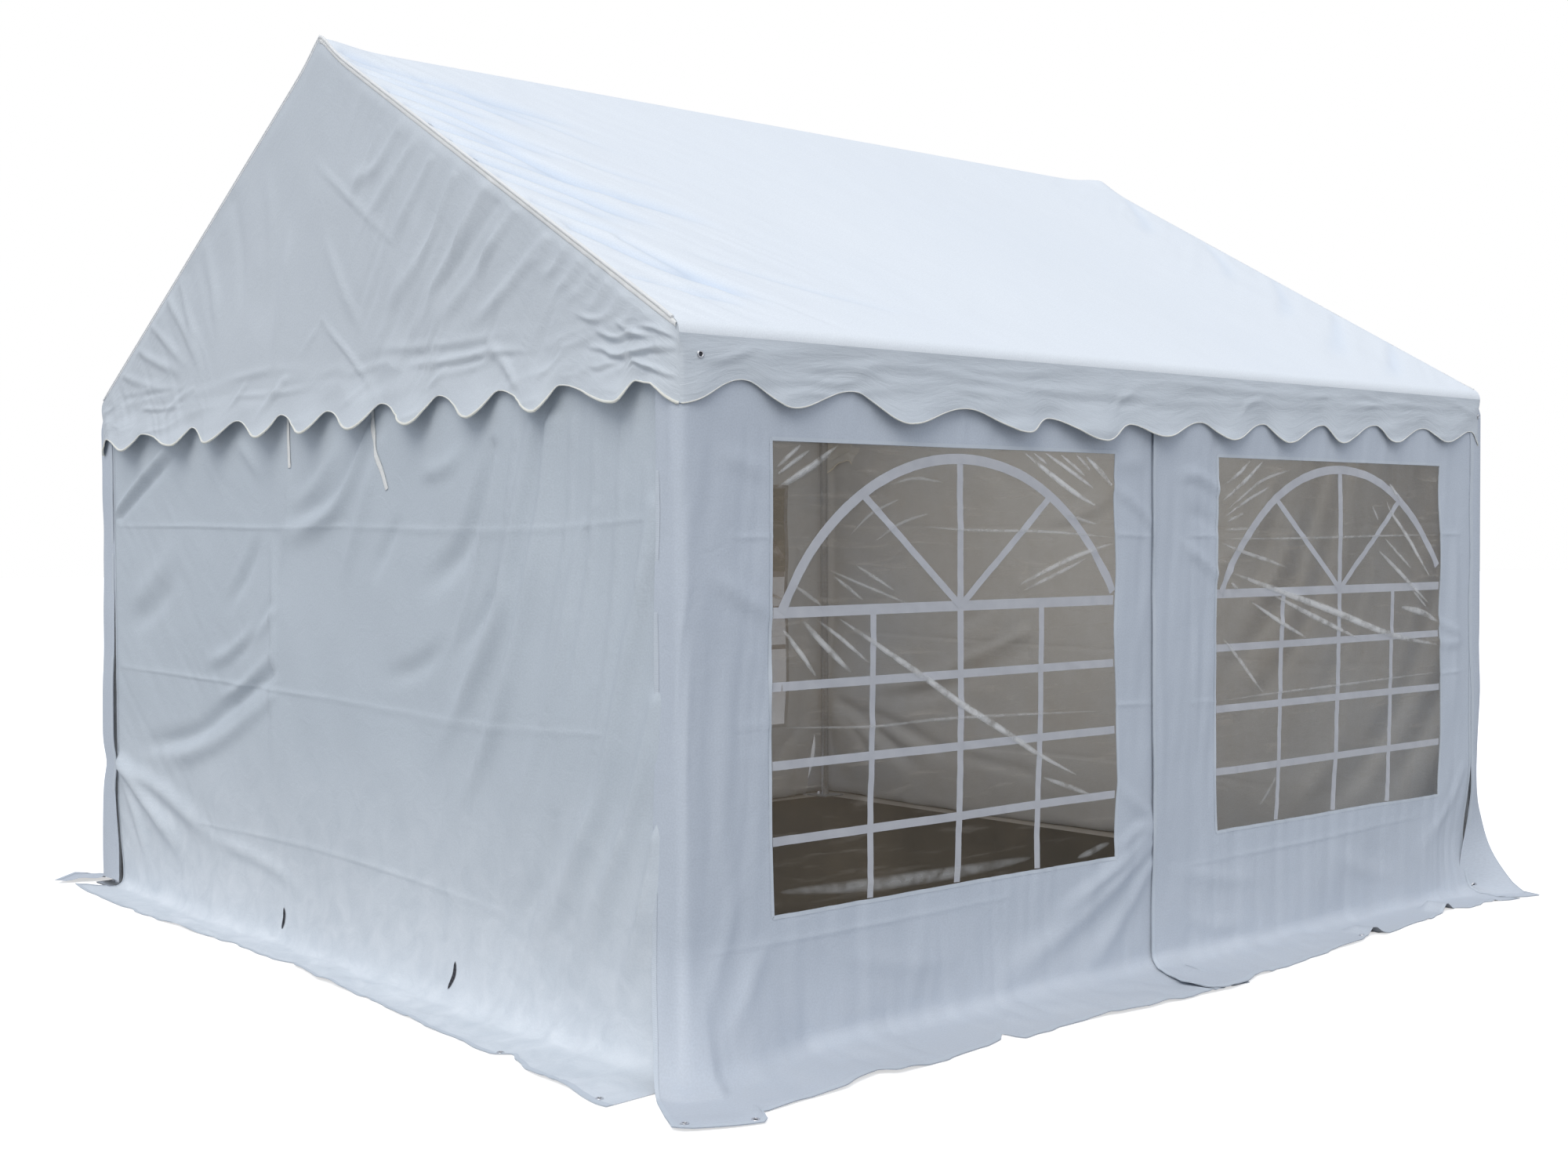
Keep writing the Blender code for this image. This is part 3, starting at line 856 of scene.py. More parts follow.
# %% [markdown]
# ## The end walls
#
# An end wall is a plain panel, clipped along its top and laced at its sides. It hangs from
# its upper corners, so long soft folds run from there down to the ground, and the squares
# in which it was packed still show as sharp lines. At the ground it bends, and its skirt lies
# flat. Places on it are given as the distance u from the corner at its left, and the height v.
# Below the ground line v goes on as the distance over the ground.

# %% The shape of a wall and its skirt
FLARE = 0.36
SKIRT_DEPTH = 0.20
BEND = 0.05
RAGGED = 0.007


def skirt(v, foot, aim, lean):
    """Hang a wall down to the ground, bend it there, and lay its skirt flat.

    foot is the wall's own line and aim is where the skirt's edge lies, both as x and y. lean
    is the share of that way that the wall has already gone when it reaches the ground.
    """
    down = np.clip((FLARE - v) / FLARE, 0.0, 1.0)[..., None] ** 2
    bent = np.clip(BEND - v, 0.0, 2 * BEND) ** 2 / (4 * BEND) + np.maximum(-BEND - v, 0.0)
    flat = np.minimum(bent / SKIRT_DEPTH, 1.0)[..., None]
    places = np.empty((*v.shape, 3))
    places[..., :2] = foot + (aim - foot) * (lean * down + (1 - lean) * flat)
    places[..., 2] = np.clip(v + BEND, 0.0, 2 * BEND) ** 2 / (4 * BEND) + np.maximum(v - BEND, 0.0) + GROUND
    return places


def from_table(u, table):
    """Numbers that change along a wall: the table's rows are u, and then the numbers there."""
    places, *columns = np.array(table).T
    return np.stack([np.interp(u, places, column) for column in columns], -1)


def edge_line(u, stations):
    """Where a skirt's edge lies: stations are (u, x, y) on the ground, joined by ragged lines."""
    ragged = [slack(u, 0 * u, 0.07, 1.0, 91), slack(u, 0 * u, 0.05, 1.0, 92)]
    return from_table(u, stations) + RAGGED * np.stack(ragged, -1)


print("a wall may lean out below", FLARE, "m, and its skirt is", SKIRT_DEPTH, "m deep")

# %% Folds of an end wall
END_FOLDS = [
    crease((0.15, 1.467, 0.8, 1.462, 1.5, 1.45, 2.0, 1.452)),
    crease((2.0, 1.452, 2.9, 1.432, 3.3, 1.44, 3.7, 1.46), 0.003),
    crease((0.15, 0.897, 1.03, 0.886, 2.05, 0.872)),
    crease((2.05, 0.872, 2.8, 0.85, 3.5, 0.872), 0.003),
    crease((0.9, 0.342, 1.7, 0.352, 2.3, 0.345, 3.0, 0.305), 0.003),
]
END_FOLDS += [fold(*row) for row in (
    ((0.14, 1.52, 0.42, 1.66, 0.78, 1.8), (0.02, 0.035), 0.022, 0.75, (0.8, 0.3)),
    ((0.12, 0.51, 0.42, 0.36, 0.8, 0.16), (0.028, 0.055), 0.024, 0.1, 0.8),
    ((0.13, 0.5, 0.55, 0.42, 1.1, 0.26), (0.025, 0.045), 0.017, 0.1, 0.8),
    ((0.12, 0.46, 0.28, 0.3, 0.42, 0.08), (0.02, 0.045), 0.01, 0.1, 0.7),
    ((0.9, 0.3, 1.5, 0.24, 1.8, 0.15), 0.025, 0.01, 0.4),
    ((0.25, 0.56, 0.8, 0.65, 1.1, 0.77, 1.49, 0.92), (0.04, 0.03), -0.02, 0.5, (0, 0.7)),
    ((0.5, 0.52, 1.0, 0.64, 1.49, 0.84), (0.04, 0.03), 0.016, 0.3, (0, 0.6)),
    ((0.9, 0.93, 1.2, 1.0, 1.49, 1.13), 0.03, 0.015, 0.4, (0, 0.6)),
    ((1.0, 0.8, 1.25, 0.87, 1.49, 0.99), 0.025, 0.012, 0.4, (0, 0.6)),
    ((1.1, 0.96, 1.3, 1.04, 1.48, 1.18), 0.022, -0.01, 0.0, (0, 0.5)),
    ((1.4, 1.45, 1.28, 1.3, 1.1, 1.15), 0.035, -0.014, 0.5),
    ((1.47, 1.5, 1.49, 1.1, 1.47, 0.55), 0.025, 0.01, 0.6),
    ((0.2, 1.1, 0.5, 1.25, 0.75, 1.4), 0.06, 0.01, 0.4),
    ((0.15, 1.05, 0.45, 1.12, 0.8, 1.3), 0.05, -0.009, 0.3),
    ((2.2, 1.76, 2.0, 1.55, 1.75, 1.47, 1.5, 1.45), (0.03, 0.05), 0.022, 0.6, 0.6),
    ((2.28, 1.72, 2.12, 1.45, 2.0, 1.25), 0.035, 0.014, 0.3, 0.5),
    ((2.42, 1.5, 2.3, 1.38, 2.2, 1.25), 0.03, -0.01, 0.3),
    ((2.05, 1.78, 1.85, 1.62, 1.6, 1.52), 0.04, 0.012, 0.4),
    ((2.95, 1.68, 2.78, 1.4, 2.5, 1.24), (0.03, 0.05), -0.02, 0.4, 0.5),
    ((2.7, 1.12, 2.5, 1.02, 2.25, 0.97), 0.035, -0.01, 0.4),
    ((3.17, 1.74, 3.03, 1.35, 2.98, 1.18, 2.75, 0.9, 2.55, 0.7),
     (0.03, 0.04), 0.026, 0.2, 0.7),
    ((3.26, 1.74, 3.17, 1.35, 3.03, 0.99, 2.9, 0.79, 2.65, 0.5),
     (0.03, 0.04), 0.024, 0.2, 0.7),
    ((3.1, 1.6, 2.95, 1.25, 2.7, 1.02), 0.025, -0.012),
    ((3.4, 1.6, 3.33, 1.2, 3.2, 0.85, 3.0, 0.5), 0.035, 0.012, 0.3),
    ((3.74, 1.5, 3.6, 1.02, 3.53, 0.79, 3.43, 0.6, 3.2, 0.3),
     (0.025, 0.04), 0.022, 0.2, (0.5, 0.2)),
    ((3.74, 0.98, 3.66, 0.74, 3.55, 0.52, 3.35, 0.22),
     (0.025, 0.045), 0.022, 0.2, (0.6, 0.2)),
    ((3.74, 0.62, 3.68, 0.4, 3.55, 0.12), (0.025, 0.04), 0.02, 0.2, (0.6, 0.3)),
    ((3.5, 0.75, 3.35, 0.45, 3.15, 0.2), 0.035, 0.012, 0.2),
    ((3.3, 0.7, 3.2, 0.45, 3.0, 0.2), 0.035, -0.01),
    ((3.5, 1.56, 3.37, 1.38, 3.28, 1.24), 0.012, 0.006, 0.5),
    ((1.2, 1.78, 1.35, 1.68, 1.42, 1.6), 0.03, 0.01, 0.3),
    ((2.98, 1.72, 2.9, 1.45, 2.8, 1.22, 2.62, 0.98), (0.012, 0.02), 0.011, 0.4, 0.6),
    ((3.08, 1.72, 3.01, 1.42, 2.92, 1.16, 2.7, 0.85), (0.012, 0.02), 0.01, 0.4, 0.6),
    ((3.36, 1.74, 3.32, 1.4, 3.24, 1.1, 3.12, 0.8), (0.012, 0.022), 0.01, 0.4, 0.6),
    ((3.48, 1.74, 3.44, 1.35, 3.36, 1.00, 3.2, 0.62), (0.012, 0.022), 0.01, 0.4, 0.6),
    ((3.6, 1.7, 3.56, 1.3, 3.5, 0.95, 3.38, 0.6), (0.012, 0.02), 0.009, 0.4, 0.6),
    ((3.7, 1.6, 3.68, 1.25, 3.62, 0.9, 3.56, 0.62), (0.01, 0.018), 0.008, 0.4, 0.6),
    ((3.6, 0.6, 3.5, 0.38, 3.34, 0.12), (0.012, 0.024), 0.009, 0.4, 0.6),
    ((3.76, 0.8, 3.72, 0.52, 3.62, 0.22), (0.012, 0.022), 0.009, 0.4, 0.6),
    ((1.62, 1.62, 1.6, 1.45, 1.52, 1.25), 0.016, 0.006, 0.4, 0.6),
    ((2.5, 1.6, 2.7, 1.62, 2.85, 1.7), 0.03, 0.01, 0.4),
)]
END_LENGTH = 2 * HALF_WIDTH
SLIT = 0.092
print(len(END_FOLDS), "folds on an end wall")


# %% Relief of an end wall
def end_relief(u, v, seed):
    """Slack cloth, its folds, and small crumples near the foot."""
    bay = ease(0.0, 0.5, u) * ease(END_LENGTH, END_LENGTH - 0.5, u)
    height = 0.014 * slack(u, v, 0.55, 0.8, seed) * bay
    height += 0.004 * slack(u, v, 0.16, 0.22, seed + 3)
    pull = streaks(u, v, math.radians(72), 0.55, 0.045, seed + 5)
    height += 0.0034 * pull * ease(2.0, 3.0, u)
    height += 0.0014 * streaks(u, v, math.radians(-40), 0.25, 0.05, seed + 7) * ease(2.0, 0.8, u)
    height += 1.5 * lay_folds(u, v, END_FOLDS)
    height += 0.005 * slack(u, v, 0.09, 0.05, seed + 9) * ease(0.12, -0.05, v)
    edges = (0.4 + 0.6 * ease(0.0, 0.10, u - SLIT)) * ease(END_LENGTH - 0.02, END_LENGTH - 0.12, u)
    return height * edges * ease(WALL_TOP, WALL_TOP - 0.12, v)


middle_out = end_relief(np.array([END_LENGTH / 2]), np.array([1.0]), 11)[0]
print("the middle of an end wall lies", round(1000 * float(middle_out), 1), "mm out of its plane")

# %% The left end wall
END_CREASES = (1.46, 0.885, 0.34)
END_RIGHT_EDGE = 3.835
END_LEAN = [(0.1, 0.0), (0.5, 0.15), (2.0, 0.26), (3.0, 0.24), (3.6, 0.16), (3.835, 0.08)]


def left_end_shape(u, v):
    """The panel hangs between the corner posts, a hand's width short of the back one."""
    drawn_in = 0.05 * ease(0.35, 0.05, v) * ease(0.4, SLIT, u)
    tucked_under = 0.06 * ease(0.35, 0.0, v) * ease(3.5, END_RIGHT_EDGE, u)
    foot = np.stack([np.full_like(u, -END_PLANE), HALF_WIDTH - u - drawn_in - tucked_under], -1)
    edge = edge_line(u, [
        (0.092, -0.113, 3.93), (0.16, -0.132, 3.79), (0.3, -0.155, 3.57), (0.9, -0.162, 2.97),
        (1.3, -0.155, 2.56), (1.49, -0.136, 2.37), (1.8, -0.152, 2.06), (1.92, -0.13, 1.94),
        (2.16, -0.182, 1.7), (2.5, -0.175, 1.35), (2.8, -0.212, 1.05), (3.3, -0.242, 0.555),
        (3.345, -0.2, 0.517), (3.4, -0.225, 0.46), (3.52, -0.255, 0.34), (3.7, -0.265, 0.15),
        (3.8, -0.288, -0.02), (3.815, -0.287, -0.04), (3.835, -0.284, -0.062),
    ])
    return skirt(v, foot, edge - (HALF_LENGTH, HALF_WIDTH), from_table(u, END_LEAN))


LEFT_END_PITCH = 0.0165
across = threads(SLIT, END_RIGHT_EDGE, LEFT_END_PITCH)
down = threads(-SKIRT_DEPTH, WALL_TOP, LEFT_END_PITCH, fine=END_CREASES)
end_left = make_sheet(
    "wall_end_left_cloth", across, down, left_end_shape,
    lambda u, v: end_relief(u, v, 11), (-1, 0, 0.1), END_CLOTH,
)
fit_to_tent(end_left, "wall_end_left")


# %% Walking round a post
def corner_walk(u, corner, before, after, radius):
    """A wall's line round an outside corner, which lies at u = 0. Ways are unit vectors."""
    corner, before, after = (np.array(part, float) for part in (corner, before, after))
    radius = np.broadcast_to(radius, u.shape)[..., None]
    u = u[..., None]
    centre = corner + radius * (after - before)
    angle = (np.clip(u / radius, -1, 1) + 1) * math.pi / 4
    arc = centre + radius * (-after * np.cos(angle) + before * np.sin(angle))
    straight = corner + np.where(u < 0, before, after) * u
    return np.where(np.abs(u) < radius, arc, straight)


turned = corner_walk(np.array([0.0]), (0, 0), (1, 0), (0, 1), 0.03)[0]
print("a 3 cm fold cuts a corner by", round(1000 * float(np.hypot(*turned)), 1), "mm")

# %% [markdown]
# The right end wall is one wide panel that wraps both right corners, and it hangs a little
# proud of the posts there. It takes the same folds, because it is the same kind of panel.

# %% The right end wall
RIGHT_WRAP = 0.065
RIGHT_RADIUS = 0.035
right_corner = (END_PLANE, -LEFT_PLANE)
far_corner = (END_PLANE, LEFT_PLANE)
between_corners = 2 * LEFT_PLANE
BACK_WRAP = 0.10
RIGHT_LEAN = [
    (-RIGHT_WRAP, 0.0), (-0.03, 0.45), (0.0, 0.74), (0.12, 0.7), (0.5, 0.5), (1.0, 0.3),
    (3.4, 0.3), (3.84, 0.5),
]


def right_end_shape(u, v):
    """u is 0 at the front corner. Both corners bag outward a few centimetres."""
    front = corner_walk(u, right_corner, (1, 0), (0, 1), RIGHT_RADIUS)
    back = corner_walk(u - between_corners, far_corner, (0, 1), (-1, 0), RIGHT_RADIUS)
    foot = np.where((u < between_corners / 2)[..., None], front, back)
    from_corner = np.minimum(u, between_corners - u)
    bag = 0.055 * ease(0.35, 1.1, v) * ease(1.96, 1.88, v)
    bag += 0.04 * ease(0.5, 0.22, v) * ease(-0.1, 0.1, v)
    foot[..., 0] += bag * ease(0.6, 0.0, from_corner) * ease(-RIGHT_WRAP, 0.0, u)
    free_edge = ease(-0.01, -RIGHT_WRAP, u)
    foot[..., 0] += 0.007 * slack(v, 0 * v, 0.19, 1.0, 15) * free_edge
    foot[..., 1] -= 0.014 * ease(0.56, 0.38, v) * ease(0.02, 0.10, v) * free_edge
    lap = ease(0.0, -0.03, from_corner)
    foot[..., 1] += 0.006 * lap * np.sign(foot[..., 1])
    foot[..., 0] -= 0.085 * ease(0.0, -RIGHT_WRAP, u) * ease(0.55, 0.05, v)
    foot[..., 0] += 0.026 * ease(1.0, 0.75, v) * ease(0.10, 0.30, v) * ease(0.3, 0.0, np.abs(u))
    edge = edge_line(u, [
        (-RIGHT_WRAP, 1.90, -2.06), (-0.03, 1.97, -2.13), (0.0, 2.07, -2.155), (0.04, 2.09, -2.07),
        (0.12, 2.13, -1.9), (0.35, 2.17, -1.6), (0.9, 2.21, -1.0), (1.5, 2.17, -0.4), (2.1, 2.22, 0.2),
        (2.8, 2.18, 0.9), (3.4, 2.21, 1.5), (3.75, 2.2, 1.98), (3.84, 2.17, 2.1),
        (between_corners + BACK_WRAP, 1.90, 2.13),
    ])
    return skirt(v, foot, edge, from_table(u, RIGHT_LEAN))


RIGHT_END_PITCH = 0.024
across = threads(-RIGHT_WRAP, between_corners + BACK_WRAP, RIGHT_END_PITCH, fine=(0, between_corners))
down = threads(-SKIRT_DEPTH, WALL_TOP, RIGHT_END_PITCH, fine=END_CREASES)
end_right = make_sheet(
    "wall_end_right_cloth", across, down, right_end_shape,
    lambda u, v: end_relief(END_LENGTH - u, v, 29) * ease(-0.02, 0.1, u), (1, 0, 0.1), WALL_CLOTH,
)
fit_to_tent(end_right, "wall_end_right")

# %% [markdown]
# ## The window walls
#
# Each long side has two panels with a window. The left one wraps round its corner post, and
# the right one laps over it in the middle. The window is a sheet of clear film welded
# behind a cut-out, with a lattice and an arch printed on it in white. The cut-out's edges
# are grid lines of the panel, so the hole is clean.

# %% Windows, bars and folds of the long sides
WINDOWS = {"left": (0.315, 1.752, 0.388, 1.672), "right": (2.297, 3.71, 0.408, 1.674)}
WALL_SPANS = {"left": (-0.09, 2.05), "right": (1.945, 3.945)}
SIDE_CREASES = (1.41, 0.87, 0.312)
SIDE_FOLDS = {
    "left": [
        crease((0.18, 1.41, 0.32, 1.41)),
        crease((0.16, 0.905, 0.32, 0.9)),
        crease((1.74, 1.415, 1.95, 1.405)),
        crease((1.74, 0.868, 1.95, 0.862)),
        crease((0.1, 0.312, 0.6, 0.31, 1.25, 0.315), 0.003),
    ],
    "right": [
        crease((2.14, 1.41, 2.3, 1.405)),
        crease((2.14, 0.852, 2.3, 0.848)),
        crease((3.7, 1.41, 3.9, 1.41)),
        crease((3.7, 0.868, 3.92, 0.876)),
        crease((2.15, 0.31, 2.9, 0.315, 3.6, 0.33), 0.003),
    ],
}
SIDE_FOLDS["left"] += [fold(*row) for row in (
    ((1.95, 0.5, 1.84, 0.56, 1.73, 0.66), 0.022, 0.012, 0.3, 0.7),
    ((1.95, 0.48, 1.85, 0.46, 1.72, 0.39), 0.022, 0.014, 0.3, 0.7),
    ((1.95, 0.46, 1.7, 0.33, 1.35, 0.17), (0.02, 0.045), 0.018, 0.3, 0.7),
    ((1.95, 0.42, 1.6, 0.22, 1.1, 0.06), (0.02, 0.05), 0.018, 0.3, 0.7),
    ((1.95, 0.36, 1.75, 0.15, 1.5, 0.02), (0.02, 0.05), 0.014, 0.2, 0.7),
    ((1.75, 1.56, 1.84, 1.51, 1.95, 1.44), 0.022, 0.012, 0.5, (0.5, 0.5)),
    ((1.74, 1.62, 1.83, 1.64, 1.93, 1.62), 0.03, 0.008, 0.3),
    ((0.08, 1.32, 0.2, 1.24, 0.33, 1.18), 0.03, 0.01, 0.5, (0, 0.4)),
    ((0.12, 1.62, 0.22, 1.6, 0.32, 1.55), 0.03, 0.008, 0.4),
    ((0.14, 1.1, 0.12, 0.7, 0.16, 0.35), 0.035, 0.008, 0.5),
    ((0.3, 0.36, 0.2, 0.2, 0.08, 0.05), 0.03, 0.01, 0.3),
    ((0.2, 0.55, 0.12, 0.3, 0.02, 0.1), 0.025, 0.008, 0.3),
    ((0.5, 0.25, 0.8, 0.17, 1.1, 0.15), 0.03, 0.006, 0.3),
    ((0.085, -0.2, 0.075, 0.0, 0.07, 0.12), 0.012, 0.008, 0.6, 1),
)]
SIDE_FOLDS["right"] += [fold(*row) for row in (
    ((2.08, 1.6, 2.18, 1.6, 2.29, 1.56), 0.022, 0.014, 0.5, (0.2, 0.6)),
    ((2.1, 1.38, 2.19, 1.33, 2.29, 1.27), 0.022, 0.014, 0.4, (0.2, 0.6)),
    ((2.12, 1.48, 2.2, 1.47, 2.29, 1.43), 0.022, -0.008, 0.2, (0, 0.4)),
    ((2.16, 1.75, 2.17, 1.2, 2.17, 0.35), 0.016, 0.006, 0.6),
    ((1.97, 1.2, 1.99, 0.7, 1.96, 0.3), 0.02, 0.006, 0.3),
    ((3.71, 1.07, 3.8, 1.04, 3.92, 1.01), 0.014, 0.008, 0.2, (0.7, 0.3)),
    ((3.71, 0.99, 3.8, 0.985, 3.92, 1.0), 0.014, 0.008, 0.2, (0.7, 0.3)),
    ((3.78, 1.55, 3.82, 1.2, 3.8, 0.6), 0.03, 0.01, 0.4),
    ((3.88, 0.5, 3.78, 0.35, 3.55, 0.2), (0.02, 0.04), 0.008, 0.3, 0.6),
    ((3.5, -0.2, 3.485, -0.12, 3.46, -0.05), 0.04, 0.036, 0.0, 1),
    ((3.82, -0.2, 3.81, -0.15), 0.018, 0.014, 0.0, 1),
    ((2.96, -0.2, 2.95, -0.13, 2.93, -0.06), 0.024, 0.026, 0.0, 1),
    ((3.31, -0.2, 3.3, -0.15), 0.018, 0.012, 0.0, 1),
    ((2.02, 0.3, 2.3, 0.24, 2.6, 0.2), 0.03, 0.008, 0.3),
    ((2.05, 0.2, 2.2, 0.1, 2.5, 0.06), 0.03, 0.008, 0.3),
    ((2.9, 0.28, 3.2, 0.16, 3.5, 0.1), 0.035, 0.007, 0.3),
)]
GLINTS = {
    "left": [
        ((1.319, 1.668, 1.417, 1.616, 1.545, 1.552, 1.668, 1.504), 0.011, 0.95),
        ((1.417, 1.67, 1.527, 1.619, 1.658, 1.559), 0.009, 0.8),
        ((1.49, 1.666, 1.611, 1.596), 0.008, 0.7),
        ((1.564, 1.668, 1.639, 1.615), 0.008, 0.7),
        ((1.611, 1.663, 1.68, 1.617, 1.748, 1.567), 0.011, 0.95),
        ((1.363, 1.669, 1.435, 1.629), 0.007, 0.6),
        ((1.517, 1.478, 1.668, 1.448), 0.007, 0.4),
        ((1.745, 1.389, 1.526, 1.338, 1.3, 1.263), 0.01, 0.55),
        ((1.62, 1.343, 1.318, 1.245), 0.008, 0.45),
        ((0.881, 1.442, 1.085, 1.431, 1.435, 1.425, 1.745, 1.407), 0.006, 0.45),
        ((0.329, 1.543, 0.428, 1.592, 0.559, 1.665), 0.01, 0.7),
        ((0.329, 1.58, 0.457, 1.652), 0.008, 0.6),
        ((0.329, 1.6, 0.428, 1.667), 0.008, 0.55),
        ((0.357, 1.548, 0.537, 1.643), 0.009, 0.45),
        ((0.39, 1.282, 0.498, 1.22), 0.007, 0.45),
        ((0.535, 1.306, 0.654, 1.232), 0.007, 0.45),
        ((0.624, 1.332, 0.777, 1.257), 0.007, 0.4),
        ((0.52, 1.32, 0.84, 1.215), 0.006, 0.35),
        ((0.605, 1.42, 0.69, 1.48, 0.8, 1.52), 0.006, 0.3),
        ((0.7, 1.4, 0.8, 1.45, 0.92, 1.48), 0.006, 0.3),
        ((0.76, 1.56, 0.86, 1.58, 0.98, 1.57), 0.006, 0.3),
        ((0.347, 1.166, 0.475, 1.026), 0.009, 0.7),
        ((0.418, 1.185, 0.505, 1.111, 0.608, 1.03), 0.012, 0.75),
        ((0.476, 1.183, 0.571, 1.125, 0.676, 1.054), 0.008, 0.65),
        ((0.556, 1.186, 0.699, 1.109, 0.879, 1.011, 1.05, 0.915, 1.255, 0.813,
          1.388, 0.743, 1.572, 0.661), 0.013, 0.95),
        ((1.415, 0.668, 1.638, 0.593), 0.01, 0.6),
        ((0.353, 0.894, 0.706, 0.875, 1.000, 0.878, 1.696, 0.856), 0.006, 0.4),
        ((0.336, 0.447, 0.65, 0.429, 1.049, 0.421, 1.369, 0.425), 0.024, 0.35),
        ((1.572, 0.402, 1.734, 0.433), 0.014, 0.35),
    ],
    "right": [
        ((2.379, 1.284, 2.614, 1.225, 2.708, 1.2, 3.018, 1.127, 3.365, 1.038, 3.697, 0.985),
         0.016, 0.95),
        ((2.614, 1.202, 2.853, 1.122, 3.154, 1.031), 0.012, 0.85),
        ((2.491, 1.183, 2.661, 1.105, 2.821, 1.044), 0.01, 0.75),
        ((2.32, 1.386, 2.423, 1.359, 2.575, 1.326, 2.692, 1.297), 0.009, 0.6),
        ((2.372, 1.253, 2.424, 1.225), 0.008, 0.6),
        ((2.335, 1.061, 2.402, 1.007, 2.48, 0.935, 2.564, 0.864), 0.009, 0.65),
        ((3.335, 1.541, 3.362, 1.498, 3.48, 1.399, 3.639, 1.248), 0.011, 0.8),
        ((3.352, 1.605, 3.434, 1.532), 0.009, 0.7),
        ((3.274, 1.357, 3.408, 1.277, 3.509, 1.216, 3.63, 1.148), 0.011, 0.7),
        ((3.318, 1.4, 3.508, 1.28), 0.008, 0.6),
        ((3.427, 1.139, 3.574, 1.115, 3.704, 1.075), 0.015, 0.8),
        ((3.515, 1.2, 3.62, 1.13), 0.008, 0.55),
        ((3.23, 1.52, 3.28, 1.46), 0.007, 0.5),
        ((2.32, 1.528, 2.438, 1.596, 2.559, 1.668), 0.01, 0.75),
        ((2.334, 1.475, 2.46, 1.533, 2.597, 1.58), 0.008, 0.6),
        ((2.334, 1.431, 2.483, 1.435), 0.007, 0.4),
        ((2.334, 1.585, 2.423, 1.631, 2.483, 1.668), 0.009, 0.7),
        ((2.349, 1.501, 2.536, 1.597, 2.722, 1.641), 0.008, 0.5),
        ((2.342, 1.457, 2.446, 1.489), 0.008, 0.5),
        ((2.31, 1.4, 2.771, 1.4, 3.3, 1.407, 3.694, 1.409), 0.006, 0.45),
        ((2.329, 0.85, 2.698, 0.861, 3.027, 0.866, 3.7, 0.879), 0.006, 0.4),
        ((2.53, 0.47, 2.6, 0.53, 2.64, 0.57), 0.01, 0.35),
    ],
}
FILM_FOLDS = {
    half: [
        fold(line, 0.013, 0.0055 * glint + 0.0010, 0.35, (0.5, 0.3)) for line, width, glint in lines
    ]
    for half, lines in GLINTS.items()
}
print("folds on a long side:", sum(len(part) for part in SIDE_FOLDS.values()))


# %% Relief of a long side and of its films
def side_relief(u, v, half, seed):
    """The cloth of one window panel."""
    sill, start = WINDOWS[half][2], WALL_SPANS[half][0]
    height = 0.006 * slack(u, v, 0.45, 0.7, seed) + 0.0025 * slack(u, v, 0.12, 0.16, seed + 2)
    below = ease(sill + 0.05, 0.15, v)
    height += below * 0.009 * slack(u, v, 0.30, 0.22, seed + 4)
    height += lay_folds(u, v, SIDE_FOLDS[half])
    crumple = 0.005 * slack(u, v, 0.10, 0.05, seed + 6) * ease(0.12, -0.05, v)
    height += crumple * (ease(1.90, 1.75, u) if half == "left" else ease(2.0, 2.15, u))
    height += 0.0026 * streaks(u, v, math.radians(85), 0.5, 0.04, seed + 21)
    if half == "left":
        height *= ease(1.968, 1.925, u)
        height -= 0.002 * ease(1.90, 1.96, u)
    else:
        height += 0.001 * ease(start + 0.06, start, u)
        height *= 1 - ease(3.83, 3.90, u) * ease(0.45, 0.70, v)
    over_plate = np.exp(-(((u - 2.0) / 0.065) ** 4)) + np.exp(-(((u - 3.95) / 0.08) ** 4))
    bump = 0.007 if half == "left" else 0.009
    height += bump * over_plate * ease(0.03, -0.005, v) * ease(-0.10, -0.06, v)
    return height * ease(WALL_TOP, WALL_TOP - 0.14, v)


def film_relief(u, v, half, seed):
    """The film follows the cloth at its edge, and has its own wrinkles inside."""
    left, right, sill, head = WINDOWS[half]
    inside = np.minimum(np.minimum(u - left, right - u), np.minimum(v - sill, head - v))
    free = ease(0.0, 0.06, inside)
    own = lay_folds(u, v, FILM_FOLDS[half]) + 0.004 * slack(u, v, 0.35, 0.3, seed + 11)
    own += 0.0012 * streaks(u, v, math.radians(-24), 0.35, 0.035, seed + 13)
    return side_relief(u, v, half, seed) * (1 - 0.6 * ease(0.0, 0.2, inside)) + own * free


print("a window is", round(WINDOWS["left"][1] - WINDOWS["left"][0], 3), "m wide at its cut-out")

